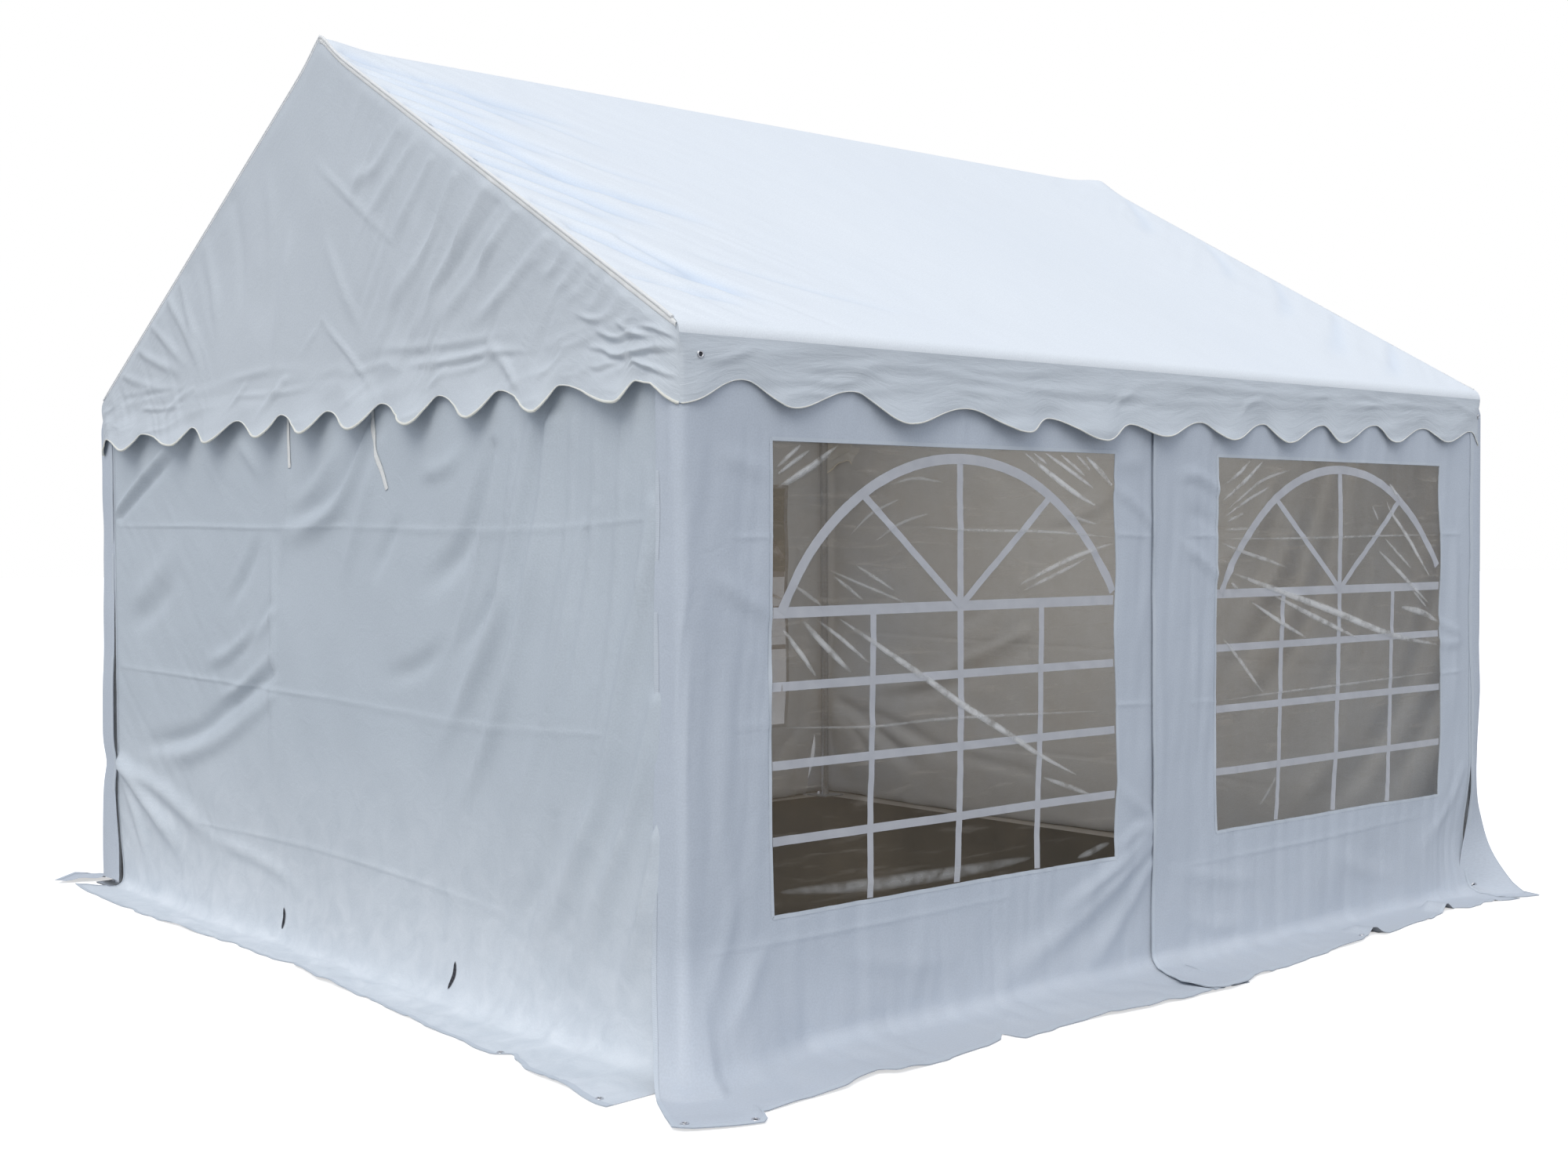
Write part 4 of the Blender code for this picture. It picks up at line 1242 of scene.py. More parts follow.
# %% Shape of a long side
CORNER_RADIUS = 0.028
SKIRT_EDGES = {
    "left": [
        (-0.09, -0.284, -0.308), (-0.07, -0.272, -0.334), (0.0, -0.17, -0.382), (0.06, -0.075, -0.419),
        (0.075, -0.06, -0.4), (0.085, -0.035, -0.352), (0.15, 0.05, -0.347), (0.3, 0.26, -0.332),
        (0.42, 0.42, -0.297), (0.455, 0.46, -0.336), (0.8, 0.79, -0.31), (0.93, 0.92, -0.275),
        (0.965, 0.965, -0.235), (0.985, 0.965, -0.31), (1.3, 1.3, -0.3), (1.45, 1.45, -0.324),
        (1.8, 1.8, -0.338), (2.05, 2.0, -0.335),
    ],
    "right": [
        (1.945, 1.815, -0.222), (1.985, 1.815, -0.328), (2.03, 1.87, -0.355), (2.1, 1.98, -0.335),
        (2.17, 2.067, -0.307), (2.28, 2.197, -0.291), (2.5, 2.449, -0.271),
        (2.65, 2.6, -0.254), (2.8, 2.75, -0.242), (2.95, 2.92, -0.2), (3.0, 2.96, -0.222),
        (3.2, 3.185, -0.193), (3.35, 3.34, -0.181), (3.55, 3.56, -0.15), (3.585, 3.59, -0.14),
        (3.62, 3.625, -0.18), (3.75, 3.77, -0.158), (3.87, 3.87, -0.2), (3.945, 3.95, -0.205),
    ],
}
SIDE_LEAN = {
    "left": [
        (-0.09, 0.51, 0.42), (0.0, 0.59, 0.38), (0.07, 0.6, 0.4), (0.16, 0.42, 0.36),
        (0.27, 0.22, 0.22), (0.42, 0.06, 0.07), (1.6, 0.05, 0.05), (1.95, 0.0, 0.0), (2.05, 0.0, 0.0),
    ],
    "right": [(1.945, 0.03), (2.2, 0.05), (3.5, 0.08), (3.75, 0.12), (3.945, 0.20)],
    "back": [(-0.09, 0.0), (0.1, 0.0), (2.05, 0.08)],
}
BACK_FLAP = [
    (-0.09, 0.0, 0.0), (-0.001, 0.0, 0.0), (0.012, -0.185, -0.118), (0.05, -0.013, -0.32),
    (0.1, -0.01, -0.18), (0.2, 0.14, -0.12), (0.5, 0.5, -0.16),
]
BACK_REACH = 0.92


def side_shape(u, v, half, row):
    """One window panel of the front, or its mirror image at the back."""
    plane = LEFT_PLANE if half == "left" else RIGHT_PLANE
    stations, lean = SKIRT_EDGES[half], from_table(u, SIDE_LEAN[half])
    back_corner = row == "back" and half == "left"
    if half == "left":
        corner = (-WRAP_PLANE - 0.0015, -plane)
        spread = 0.42 + 0.40 * ease(0.5, 0.1, v) if back_corner else 0.4 * ease(1.9, 0.2, v)
        wider = np.where(u < 0, u * (1 + spread), u)
        foot = corner_walk(wider, corner, (0, -1), (1, 0), CORNER_RADIUS)
    else:
        drawn = 0.075 * ease(0.55, 0.08, v) * ease(3.6, 3.94, u)
        foot = np.stack([u - drawn - HALF_LENGTH, np.full_like(u, -plane)], -1)
    left, right, sill, _ = WINDOWS[half]
    wave = 0.007 * slack(v, 0 * v, 0.22, 1.0, 5) * np.exp(-(((u - right) / 0.05) ** 2))
    wave += 0.005 * slack(v, 0 * v, 0.3, 1.0, 8) * np.exp(-(((u - left) / 0.05) ** 2))
    foot[..., 0] += wave
    if back_corner:
        stations = BACK_FLAP + [one for one in stations if one[0] > 0.6]
        lean = from_table(u, SIDE_LEAN["back"])
        bag = (0.052 - 0.030 * np.exp(-(((v - 0.50) / 0.06) ** 2))) * ease(1.96, 1.85, v)
        foot[..., 1] -= bag * ease(0.25, 0.03, np.abs(u))
    aim = edge_line(u, stations)
    if row == "back":
        aim[..., 1] *= BACK_REACH
    places = skirt(v, foot, aim - (HALF_LENGTH, HALF_WIDTH), lean)
    if half == "right":
        places[..., 2] += 0.0035 * ease(2.10, 2.02, u) * ease(0.06, 0.0, v)
    dip = 0.004 * slack(u, 0 * u, 0.4, 1.0, 3)
    places[..., 2] += dip * np.exp(-(((v - sill) / 0.06) ** 2))
    if row == "back":
        places[..., 1] *= -1
    return places


def cut_away(u, v, half, row):
    """The window opening, and at the back the free end of the strip that hangs at the corner."""
    left, right, sill, head = WINDOWS[half]
    free_end = row == "back" and half == "left" and u < 0.012 and v < 0.02
    return free_end or (left < u < right and sill < v < head)


print("a side wall's skirt reaches out", -min(y for u, x, y in SKIRT_EDGES["left"]), "m at most")

# %% Build the window walls and their films
ROWS = {"front": (-1, 0.0165, 0.009, 41), "back": (1, 0.022, 0.018, 67)}
FILM_LAP = 0.018
FILM_BEHIND = 0.0035
films = {}
for row, (facing, pitch, film_pitch, seed) in ROWS.items():
    for half in ("left", "right"):
        left, right, sill, head = WINDOWS[half]
        start, end = WALL_SPANS[half]
        turn = (0.0,) if half == "left" else ()
        across = threads(start, end, pitch, fine=turn, exact=(left, right, *turn))
        down = threads(-SKIRT_DEPTH, WALL_TOP, pitch, fine=SIDE_CREASES, exact=(sill, head))
        cloth = make_sheet(
            f"wall_{row}_{half}_cloth", across, down,
            lambda u, v: side_shape(u, v, half, row),
            lambda u, v: side_relief(u, v, half, seed),
            (0, facing, 0.1), WALL_CLOTH, lambda u, v: cut_away(u, v, half, row),
        )
        fit_to_tent(cloth, f"wall_{row}_{half}")
        film = make_sheet(
            f"window_{row}_{half}_film",
            threads(left - FILM_LAP, right + FILM_LAP, film_pitch),
            threads(sill - FILM_LAP, head + FILM_LAP, film_pitch),
            lambda u, v: side_shape(u, v, half, row),
            lambda u, v: film_relief(u, v, half, seed) - FILM_BEHIND,
            (0, facing, 0.1), CLEAR_FILM, thick=False,
        )
        films[row, half] = film
        fit_to_tent(film, f"window_{row}_{half}")

# %% [markdown]
# ### The printed bars
#
# The lattice is printed, so it has no thickness of its own. It is laid as strips on the
# film, which makes it bend with every wrinkle as the print does. An arch with two spokes
# stands on the top bar, and three uprights run down from it.

# %% Window bars
BAR = 0.025
ARCH_BAR = 0.030
FILM_CENTRES = {"left": (1.050, 0.018), "right": (3.030, 0.034)}
FILM_BARS = {
    "left": (1.207, (1.006, 0.792, 0.585), (0.692, 1.406)),
    "right": (1.213, (1.029, 0.822, 0.609), (2.674, 3.381)),
}
ARCH_HALF, ARCH_RISE = 0.705, 0.433
SPOKE_REACH = (0.387, 0.318)


def bar_strips(half):
    """Points of every printed bar of one window, as strips for the film."""
    left, right, sill, _ = WINDOWS[half]
    hub, levels, uprights = FILM_BARS[half]
    centre, lean = FILM_CENTRES[half]
    start, end = left + 0.004, right - 0.004
    strips = [([(start, level), (end, level)], BAR, 0.0008, 5, 0) for level in levels]
    strips.append(([(start, hub), (end, hub)], ARCH_BAR, 0.0010, 5, 0))
    for head_end in uprights:
        sway = [
            (head_end, hub), (head_end - 0.3 * lean, 0.8), (head_end - 0.8 * lean, 0.5),
            (head_end - lean, sill + 0.003),
        ]
        strips.append((smooth_line(sway), BAR * 0.9, 0.0012, 5, 0))
    top = hub + ARCH_RISE
    middle = [(centre, top), (centre, hub), (centre - 0.3 * lean, 0.75), (centre - lean, sill + 0.003)]
    strips.append((smooth_line(middle), BAR, 0.0012, 5, 0))
    radius = ARCH_HALF**2 / (2 * ARCH_RISE) + ARCH_RISE / 2
    turns = np.linspace(-1, 1, 60) * math.asin(ARCH_HALF / radius)
    arch = np.stack([centre + radius * np.sin(turns), top + radius * (np.cos(turns) - 1)], -1)
    arch = arch[(arch[:, 0] > start) & (arch[:, 0] < end)]
    strips.append((arch, ARCH_BAR, 0.0016, 5, 0))
    for side in (-1, 1):
        tip = (centre + side * SPOKE_REACH[0], hub + SPOKE_REACH[1])
        strips.append(([(centre, hub), tip], BAR * 0.9, 0.0020, 5, 0))
    return strips


bars = {}
for row, half in films:
    sheet = f"window_{row}_{half}_film"
    bars[row, half] = lay_strips(f"window_{row}_{half}_bars", sheet, bar_strips(half), PRINTED_BAR)
    fit_to_tent(bars[row, half])
print(len(bars), "windows have bars")

# %% [markdown]
# ### Creases in the film
#
# Where clear film has been folded it turns pale along the line and catches the light. These
# glints are thin tapered strips of pale colour, partly the whitened film and partly painted
# highlight, whose transparency fades to their edges.

# %% Crease glints
glints = {}
for row, half in films:
    strips = [(smooth_line(line), 1.8 * width, 0.0026, 5, glint) for line, width, glint in GLINTS[half]]
    glints[row, half] = lay_strips(
        f"window_{row}_{half}_creases", f"window_{row}_{half}_film", strips, CREASE_GLINT,
    )
    fit_to_tent(glints[row, half])
print(sum(len(part) for part in GLINTS.values()), "crease lines on a long side")

# %% [markdown]
# ## The roof and its ends
#
# The cover is one sewn piece: two slopes, a gable at each end, and a valance that hangs past
# the eaves. The slopes are taut over the rafters, so their folds are long and shallow and
# run in from the verges, where the seam is gathered. The gable is slack, and its folds hang
# from the sloping seam. The valance and the gable end in the same wavy hem.

# %% Wavy hems
CORNER_HEM = 1.763
LOBE_SHIFT = {"gable": 0.084, "front": -0.035}
FRONT_HEM = [
    (0.0, CORNER_HEM), (0.21, 1.833), (0.41, 1.764), (0.61, 1.82), (0.84, 1.736), (1.06, 1.79),
    (1.34, 1.728), (1.42, 1.775), (1.7, 1.714), (1.81, 1.77), (2.0, 1.736), (2.19, 1.79),
    (2.37, 1.736), (2.55, 1.797), (2.69, 1.736), (2.91, 1.805), (3.03, 1.745), (3.25, 1.817),
    (3.39, 1.758), (3.59, 1.817), (3.77, 1.77), (3.93, 1.817), (4.0, CORNER_HEM),
]
GABLE_HEM = [
    (0.0, CORNER_HEM), (0.075, 1.825), (0.25, 1.77), (0.46, 1.83), (0.72, 1.772), (0.91, 1.835),
    (1.03, 1.77), (1.31, 1.84), (1.45, 1.772), (1.64, 1.845), (1.78, 1.772), (1.98, 1.84),
    (2.11, 1.77), (2.34, 1.845), (2.48, 1.768), (2.69, 1.85), (2.82, 1.772), (3.02, 1.845),
    (3.19, 1.77), (3.34, 1.84), (3.56, 1.775), (3.69, 1.83), (3.76, 1.82), (3.86, CORNER_HEM),
]


def wavy(u, turns):
    """A hem's height at u: smooth waves through its highest and lowest places."""
    places, heights = np.array(turns).T
    places = places.copy()
    places[2:-2:2] += LOBE_SHIFT["gable" if turns is GABLE_HEM else "front"]
    k = np.clip(np.searchsorted(places, u) - 1, 0, len(places) - 2)
    share = (u - places[k]) / (places[k + 1] - places[k])
    swing = (1 - np.cos(np.pi * np.clip(share, 0, 1))) / 2
    return heights[k] + (heights[k + 1] - heights[k]) * swing


def lobes(u, turns):
    """1 at the lowest places of a hem, where it hangs free and curls, and 0 at its arches."""
    low = np.array([height for place, height in turns]).min()
    high = np.array([height for place, height in turns]).max()
    return np.clip((high - wavy(u, turns)) / (high - low), 0, 1)


print("a hem swings between", min(h for u, h in FRONT_HEM), "and", max(h for u, h in FRONT_HEM))

# %% The roof's own outline
EAVE_BEND = 0.045
EAVE_TURN = math.pi / 2 - SLOPE
EAVE_TANGENT = EAVE_BEND * math.tan(EAVE_TURN / 2)
ROOF_LENGTH = math.hypot(HALF_WIDTH, RIDGE - EAVE)
VALANCE_TOP = EAVE - EAVE_TANGENT
SKIN = 0.0012


def over_the_roof(v):
    """In from the eave, and up: where the cover lies at v metres up the slope from its eave.

    It comes down the slope, bends over the eave rail in a round arc and ends plumb.
    """
    centre = (EAVE_BEND, VALANCE_TOP)
    angle = np.clip((EAVE_TANGENT - v) / (2 * EAVE_TANGENT), 0, 1) * EAVE_TURN
    inward = np.where(v < EAVE_TANGENT, centre[0] - EAVE_BEND * np.sin(SLOPE + angle), v * math.cos(SLOPE))
    height = np.where(
        v < EAVE_TANGENT, centre[1] + EAVE_BEND * np.cos(SLOPE + angle), EAVE + v * math.sin(SLOPE),
    )
    return inward, height + SKIN


def peak_at_end(v):
    """The ridge pole's end lifts the cover into a small peak over each gable."""
    return 0.020 * np.exp(-(((ROOF_LENGTH - v) / 0.10) ** 2))


def ridge_round(v):
    """How far the top line lies down, so that the slopes meet in a round and not an edge."""
    return 0.004 * np.exp(-(((ROOF_LENGTH - v) / 0.012) ** 2))


print("the cover is plumb from", round(VALANCE_TOP, 3), "m down")

# %% Folds of a gable and of a valance
GABLE_FOLDS = [fold(*row) for row in (
    ((1.91, 2.66, 2.12, 2.53, 2.4, 2.35), 0.012, 0.007, 0.4, (0.5, 0.3)),
    ((1.93, 2.14, 2.13, 2.0, 2.33, 1.84), 0.012, 0.008, 0.4, (0.6, 0.3)),
    ((1.93, 2.14, 1.84, 2.09, 1.75, 2.03), 0.012, 0.004, 0.4),
    ((2.98, 2.47, 2.75, 2.26, 2.45, 2.01), (0.018, 0.03), 0.016, 0.2, (0.8, 0.2)),
    ((3.0, 2.39, 2.75, 2.22, 2.45, 2.06), (0.014, 0.025), -0.007, 0.2, (0.8, 0.2)),
    ((3.1, 2.36, 2.85, 2.18, 2.6, 2.05), (0.015, 0.03), 0.012, 0.3, 0.8),
    ((2.65, 2.57, 2.52, 2.46, 2.38, 2.34), (0.015, 0.025), 0.01, 0.3, 0.8),
    ((2.45, 2.7, 2.3, 2.6, 2.1, 2.58), (0.015, 0.03), 0.01, 0.3, 0.8),
    ((2.55, 2.64, 2.36, 2.52, 2.2, 2.42), (0.015, 0.03), 0.009, 0.3, 0.8),
    ((2.78, 2.5, 2.6, 2.3, 2.3, 2.12), (0.018, 0.035), 0.012, 0.3, 0.8),
    ((3.25, 2.26, 3.0, 2.12, 2.8, 2.04), (0.015, 0.03), 0.012, 0.3, 0.8),
    ((2.25, 2.04, 2.05, 2.3, 1.92, 2.51), 0.03, 0.006, 0.4),
    ((0.35, 2.17, 0.6, 2.09, 0.85, 2.03), (0.012, 0.025), 0.01, 0.3, 0.8),
    ((0.5, 2.26, 0.72, 2.14, 0.9, 2.02), (0.012, 0.025), 0.01, 0.3, 0.8),
    ((0.65, 2.37, 0.85, 2.18, 1.0, 2.01), (0.012, 0.03), 0.012, 0.3, 0.8),
    ((0.78, 2.4, 0.88, 2.22, 0.97, 2.06), (0.012, 0.03), 0.01, 0.3, 0.8),
    ((0.2, 2.08, 0.45, 2.02, 0.7, 2.0), (0.012, 0.02), 0.008, 0.3, 0.8),
    ((1.0, 2.5, 1.08, 2.3, 1.12, 2.1), 0.035, 0.009, 0.3, 0.6),
    ((1.25, 2.62, 1.3, 2.4, 1.28, 2.15), 0.04, -0.008, 0.3, 0.6),
    ((1.72, 2.5, 1.64, 2.29, 1.56, 2.01), 0.035, 0.01, 0.4),
    ((1.5, 2.75, 1.55, 2.5, 1.5, 2.2), 0.04, 0.007, 0.3),
    ((0.62, 1.86, 0.75, 1.93, 0.9, 1.97), 0.015, 0.008, 0.4, (0, 0.5)),
    ((1.67, 1.97, 1.56, 1.9, 1.45, 1.82), 0.018, 0.01, 0.4, 0.5),
    ((2.95, 1.98, 3.05, 1.9, 3.15, 1.82), 0.018, 0.01, 0.4, 0.5),
    ((3.49, 1.98, 3.6, 1.945, 3.67, 1.953, 3.76, 1.936), 0.01, 0.011, 0.6),
    ((3.6, 1.998, 3.67, 1.955, 3.76, 1.94), 0.009, 0.009, 0.5),
    ((3.48, 1.93, 3.55, 1.92, 3.62, 1.898, 3.76, 1.906, 3.85, 1.903),
     0.010, 0.013, 0.6, (0.3, 0.8)),
    ((3.64, 1.895, 3.7, 1.877, 3.85, 1.829), 0.009, 0.014, 0.5, (0.3, 0.8)),
    ((3.49, 1.887, 3.53, 1.871, 3.65, 1.889), 0.009, 0.009, 0.5),
    ((3.77, 2.003, 3.85, 1.985), 0.008, 0.008, 0.4),
    ((3.7, 1.97, 3.78, 1.957, 3.85, 1.928), 0.008, 0.009, 0.5, (0.2, 0.6)),
    ((3.4, 2.03, 3.5, 2.005, 3.6, 2.02), 0.01, 0.008, 0.4),
    ((0.15, 1.985, 0.5, 1.992, 0.9, 1.985), 0.014, 0.005, 0.6),
    ((1.1, 1.98, 1.5, 1.995, 1.9, 1.985), 0.016, 0.004, 0.6),
    ((2.2, 2.02, 2.7, 1.995, 3.2, 2.01), 0.016, 0.005, 0.6),
    ((2.35, 1.96, 2.7, 1.945, 3.0, 1.955, 3.3, 1.93), 0.012, 0.007, 0.5),
    ((1.2, 1.93, 1.6, 1.915, 1.95, 1.93), 0.012, 0.006, 0.5),
    ((0.3, 1.94, 0.6, 1.915, 0.95, 1.92), 0.012, 0.006, 0.5),
    ((2.25, 1.93, 2.16, 1.88, 2.05, 1.84), 0.012, 0.008, 0.4),
    ((2.75, 1.95, 2.66, 1.9, 2.58, 1.87), 0.012, 0.008, 0.4),
    ((1.4, 2.0, 1.3, 1.93, 1.22, 1.88), 0.012, 0.007, 0.4),
    ((3.38, 1.97, 3.3, 1.9, 3.2, 1.86), 0.012, 0.008, 0.4),
    ((3.08, 2.42, 2.92, 2.2, 2.8, 2.02), (0.01, 0.018), 0.01, 0.4, 0.7),
    ((2.92, 2.46, 2.8, 2.3, 2.7, 2.12), (0.01, 0.018), 0.009, 0.4, 0.7),
    ((2.48, 2.62, 2.4, 2.45, 2.34, 2.25), (0.01, 0.018), 0.008, 0.4, 0.7),
    ((2.32, 2.72, 2.22, 2.6, 2.1, 2.48), (0.01, 0.018), 0.008, 0.4, 0.7),
)]
for place in (3.3, 3.37, 3.44, 3.5, 3.57, 3.64, 3.7):
    verge = EAVE + (END_LENGTH - place) * math.tan(SLOPE) - 0.015
    line = [(place, verge), (place - 0.07, verge - 0.06), (place - 0.15, verge - 0.09)]
    GABLE_FOLDS.append(fold(line, (0.008, 0.018), 0.007, 0.3, 0.8))
VALANCE_FOLDS = [fold(*row) for row in (
    ((0.9, 1.94, 1.2, 1.9, 1.6, 1.925), 0.01, 0.007, 0.5),
    ((2.2, 1.945, 2.5, 1.93, 2.9, 1.94), 0.01, 0.006, 0.5),
    ((3.1, 1.93, 3.3, 1.905, 3.6, 1.9), 0.01, 0.007, 0.5),
    ((0.35, 1.86, 0.6, 1.88, 0.85, 1.84), 0.012, 0.007, 0.4),
    ((1.0, 1.85, 1.2, 1.83, 1.4, 1.84), 0.012, 0.006, 0.4),
    ((1.72, 1.79, 1.78, 1.85, 1.9, 1.89), 0.012, 0.007, 0.4),
    ((2.4, 1.8, 2.46, 1.86, 2.6, 1.89), 0.012, 0.007, 0.4),
    ((0.02, 1.95, 0.2, 1.93, 0.45, 1.95), 0.012, 0.006, 0.4),
    ((0.05, 1.87, 0.15, 1.88, 0.3, 1.93), 0.012, 0.006, 0.4),
    ((0.6, 1.93, 1.3, 1.86, 2.1, 1.85, 2.9, 1.88), 0.014, 0.007, 0.5),
    ((0.3, 1.9, 0.9, 1.89, 1.5, 1.91), 0.012, 0.005, 0.5),
    ((1.8, 1.92, 2.6, 1.9, 3.4, 1.93), 0.012, 0.006, 0.5),
    ((2.9, 1.87, 3.4, 1.89, 3.95, 1.9), 0.012, 0.006, 0.5),
    ((3.6, 1.95, 3.8, 1.92, 3.98, 1.87), 0.012, 0.006, 0.4),
)]
print(len(GABLE_FOLDS), "folds on a gable and", len(VALANCE_FOLDS), "on a valance")

# %% [markdown]
# A gable is one sheet from the ridge to its wavy hem, so its grid runs between those two
# lines. Level rows would leave a ragged edge along the slope.

# %% Build the gables
ARRIS = 0.020
outline_steps = np.linspace(-EAVE_TANGENT, ROOF_LENGTH, 400)
outline_in, outline_up = over_the_roof(outline_steps)
outline_up = outline_up + peak_at_end(outline_steps) - ridge_round(outline_steps)


def corner_radius(z):
    """The cover's corner is a sharp arris at the eave, and opens to a round fold below it."""
    return 0.0006 + ARRIS * ease(VALANCE_TOP, VALANCE_TOP - 0.06, z)


def gable_roofline(u):
    """The height of the roof's edge over a gable, at u from its left corner."""
    return np.interp(HALF_WIDTH - np.abs(u - HALF_WIDTH), outline_in, outline_up)


def gable_height(u, v):
    """v runs from 0 at the hem to 1 under the roof."""
    hem_height = wavy(u, GABLE_HEM)
    return hem_height + v * (gable_roofline(u) - hem_height)


def gable_relief(u, v, seed):
    """Gathers below the verges, a band of level creases, and a hem that curls outward."""
    z = gable_height(u, v)
    below_roof = gable_roofline(u) - z
    height = 0.004 + 0.010 * slack(u, z, 0.5, 0.5, seed) + 0.003 * slack(u, z, 0.12, 0.15, seed + 1)
    gathers = streaks(u, z, math.radians(52), 0.35, 0.035, seed + 2) * ease(1.9, 2.5, u)
    gathers += streaks(u, z, math.radians(-52), 0.35, 0.035, seed + 3) * ease(1.3, 0.7, u)
    height += 0.0034 * gathers
    band = ease(2.02, 1.96, z)
    height += 0.0045 * streaks(u, z, math.radians(8), 0.28, 0.045, seed + 4) * band
    height += 1.25 * lay_folds(u, z, GABLE_FOLDS)
    from_corner = np.minimum(u, END_LENGTH - u)
    height *= ease(0.0, 0.05, below_roof) * ease(0.0, 0.06, from_corner)
    drop = np.clip((1.94 - z) / 0.17, 0, 1)
    curl = lobes(u, GABLE_HEM) * (0.014 * drop + 0.020 * drop**2) + 0.020 * drop
    return height * (1 - 0.4 * drop) + curl * ease(0.0, 0.10, from_corner)


def gable_shape(u, v, side):
    """side is -1 for the left end and 1 for the right. u starts at the corner on its left."""
    z = gable_height(u, v)
    sway = 0.006 * np.sin(9 * u) * np.clip((1.9 - z) / 0.13, 0, 1)
    sway *= ease(0, 0.2, u) * ease(END_LENGTH, END_LENGTH - 0.2, u)
    first = corner_walk(u, (-HALF_LENGTH, HALF_WIDTH), (-1, 0), (0, -1), corner_radius(z))
    last = corner_walk(u - END_LENGTH, (-HALF_LENGTH, -HALF_WIDTH), (0, -1), (1, 0), corner_radius(z))
    places = np.empty((*u.shape, 3))
    places[..., :2] = np.where((u < HALF_WIDTH)[..., None], first, last)
    places[..., 1] -= sway
    places[..., :2] *= -side
    if side > 0:
        places[..., 0] += 0.018 * ease(0.0, 0.06, u) * ease(0.5, 0.12, u) * ease(1.965, 1.90, z)
    places[..., 2] = z
    return places


GABLES = {"left": (-1, 0.0145, 23), "right": (1, 0.022, 59)}
for end, (side, pitch, seed) in GABLES.items():
    across = threads(0.0, END_LENGTH, pitch, fine=(0.0, END_LENGTH))
    down = np.linspace(0, 1, int(1.25 / pitch)) ** 1.25
    gable = make_sheet(
        f"gable_{end}_cloth", across, down,
        lambda u, v: gable_shape(u, v, side), lambda u, v: gable_relief(u, v, seed),
        (side, 0, 0), COVER_CLOTH,
    )
    fit_to_tent(gable, f"gable_{end}")

# %% [markdown]
# The valance hangs below the bend at the eave. Nothing weighs its lobes down, so they curl
# outward, the more so the lower they reach.

# %% Build the valances
VALANCE_LENGTH = 2 * HALF_LENGTH
VALANCE_PITCH = {"front": 0.013, "back": 0.018}


def valance_height(u, v):
    """v runs from 0 at the hem to 1 under the bend at the eave."""
    hem_height = wavy(u, FRONT_HEM)
    return hem_height + v * (VALANCE_TOP + SKIN - hem_height)


def valance_shape(u, v, row):
    """The valance meets the gable on the round fold at each corner."""
    z = valance_height(u, v)
    near = corner_walk(u, (-HALF_LENGTH, -HALF_WIDTH), (0, -1), (1, 0), corner_radius(z))
    far = corner_walk(
        u - VALANCE_LENGTH, (HALF_LENGTH, -HALF_WIDTH), (1, 0), (0, 1), corner_radius(z),
    )
    places = np.empty((*u.shape, 3))
    places[..., :2] = np.where((u < VALANCE_LENGTH / 2)[..., None], near, far)
    places[..., 2] = z
    if row == "back":
        places[..., 1] *= -1
    return places


def valance_relief(u, v, seed):
    """Small level creases, and lobes that curl outward."""
    z = valance_height(u, v)
    drop = np.clip((1.94 - z) / 0.2, 0, 1)
    height = 0.004 * slack(u, z, 0.3, 0.12, seed) + 0.0015 * slack(u, z, 0.07, 0.05, seed + 1)
    height += 0.0030 * streaks(u, z, math.radians(4), 0.30, 0.035, seed + 2)
    height += lay_folds(u, z, VALANCE_FOLDS)
    curl = lobes(u, FRONT_HEM) * (0.014 * drop + 0.026 * drop**3)
    from_corner = np.minimum(u, VALANCE_LENGTH - u)
    below_bend = VALANCE_TOP + SKIN - z
    height = height * ease(0.0, 0.06, from_corner) + curl * ease(0.0, 0.10, from_corner)
    return height * ease(0.0, 0.04, below_bend)


for row, (facing, *_, seed) in ROWS.items():
    across = threads(0.0, VALANCE_LENGTH, VALANCE_PITCH[row], fine=(0.0, VALANCE_LENGTH))
    down = np.linspace(0, 1, 18) ** 1.1
    valance = make_sheet(
        f"valance_{row}_cloth", across, down,
        lambda u, v: valance_shape(u, v, row), lambda u, v: valance_relief(u, v, seed + 5),
        (0, facing, 0), COVER_CLOTH,
    )
    fit_to_tent(valance, f"valance_{row}")

# %% [markdown]
# A slope is one taut sheet. Its deep folds start at the left verge, where the seam is
# gathered, so its grid is fine there and coarser over the smooth rest.

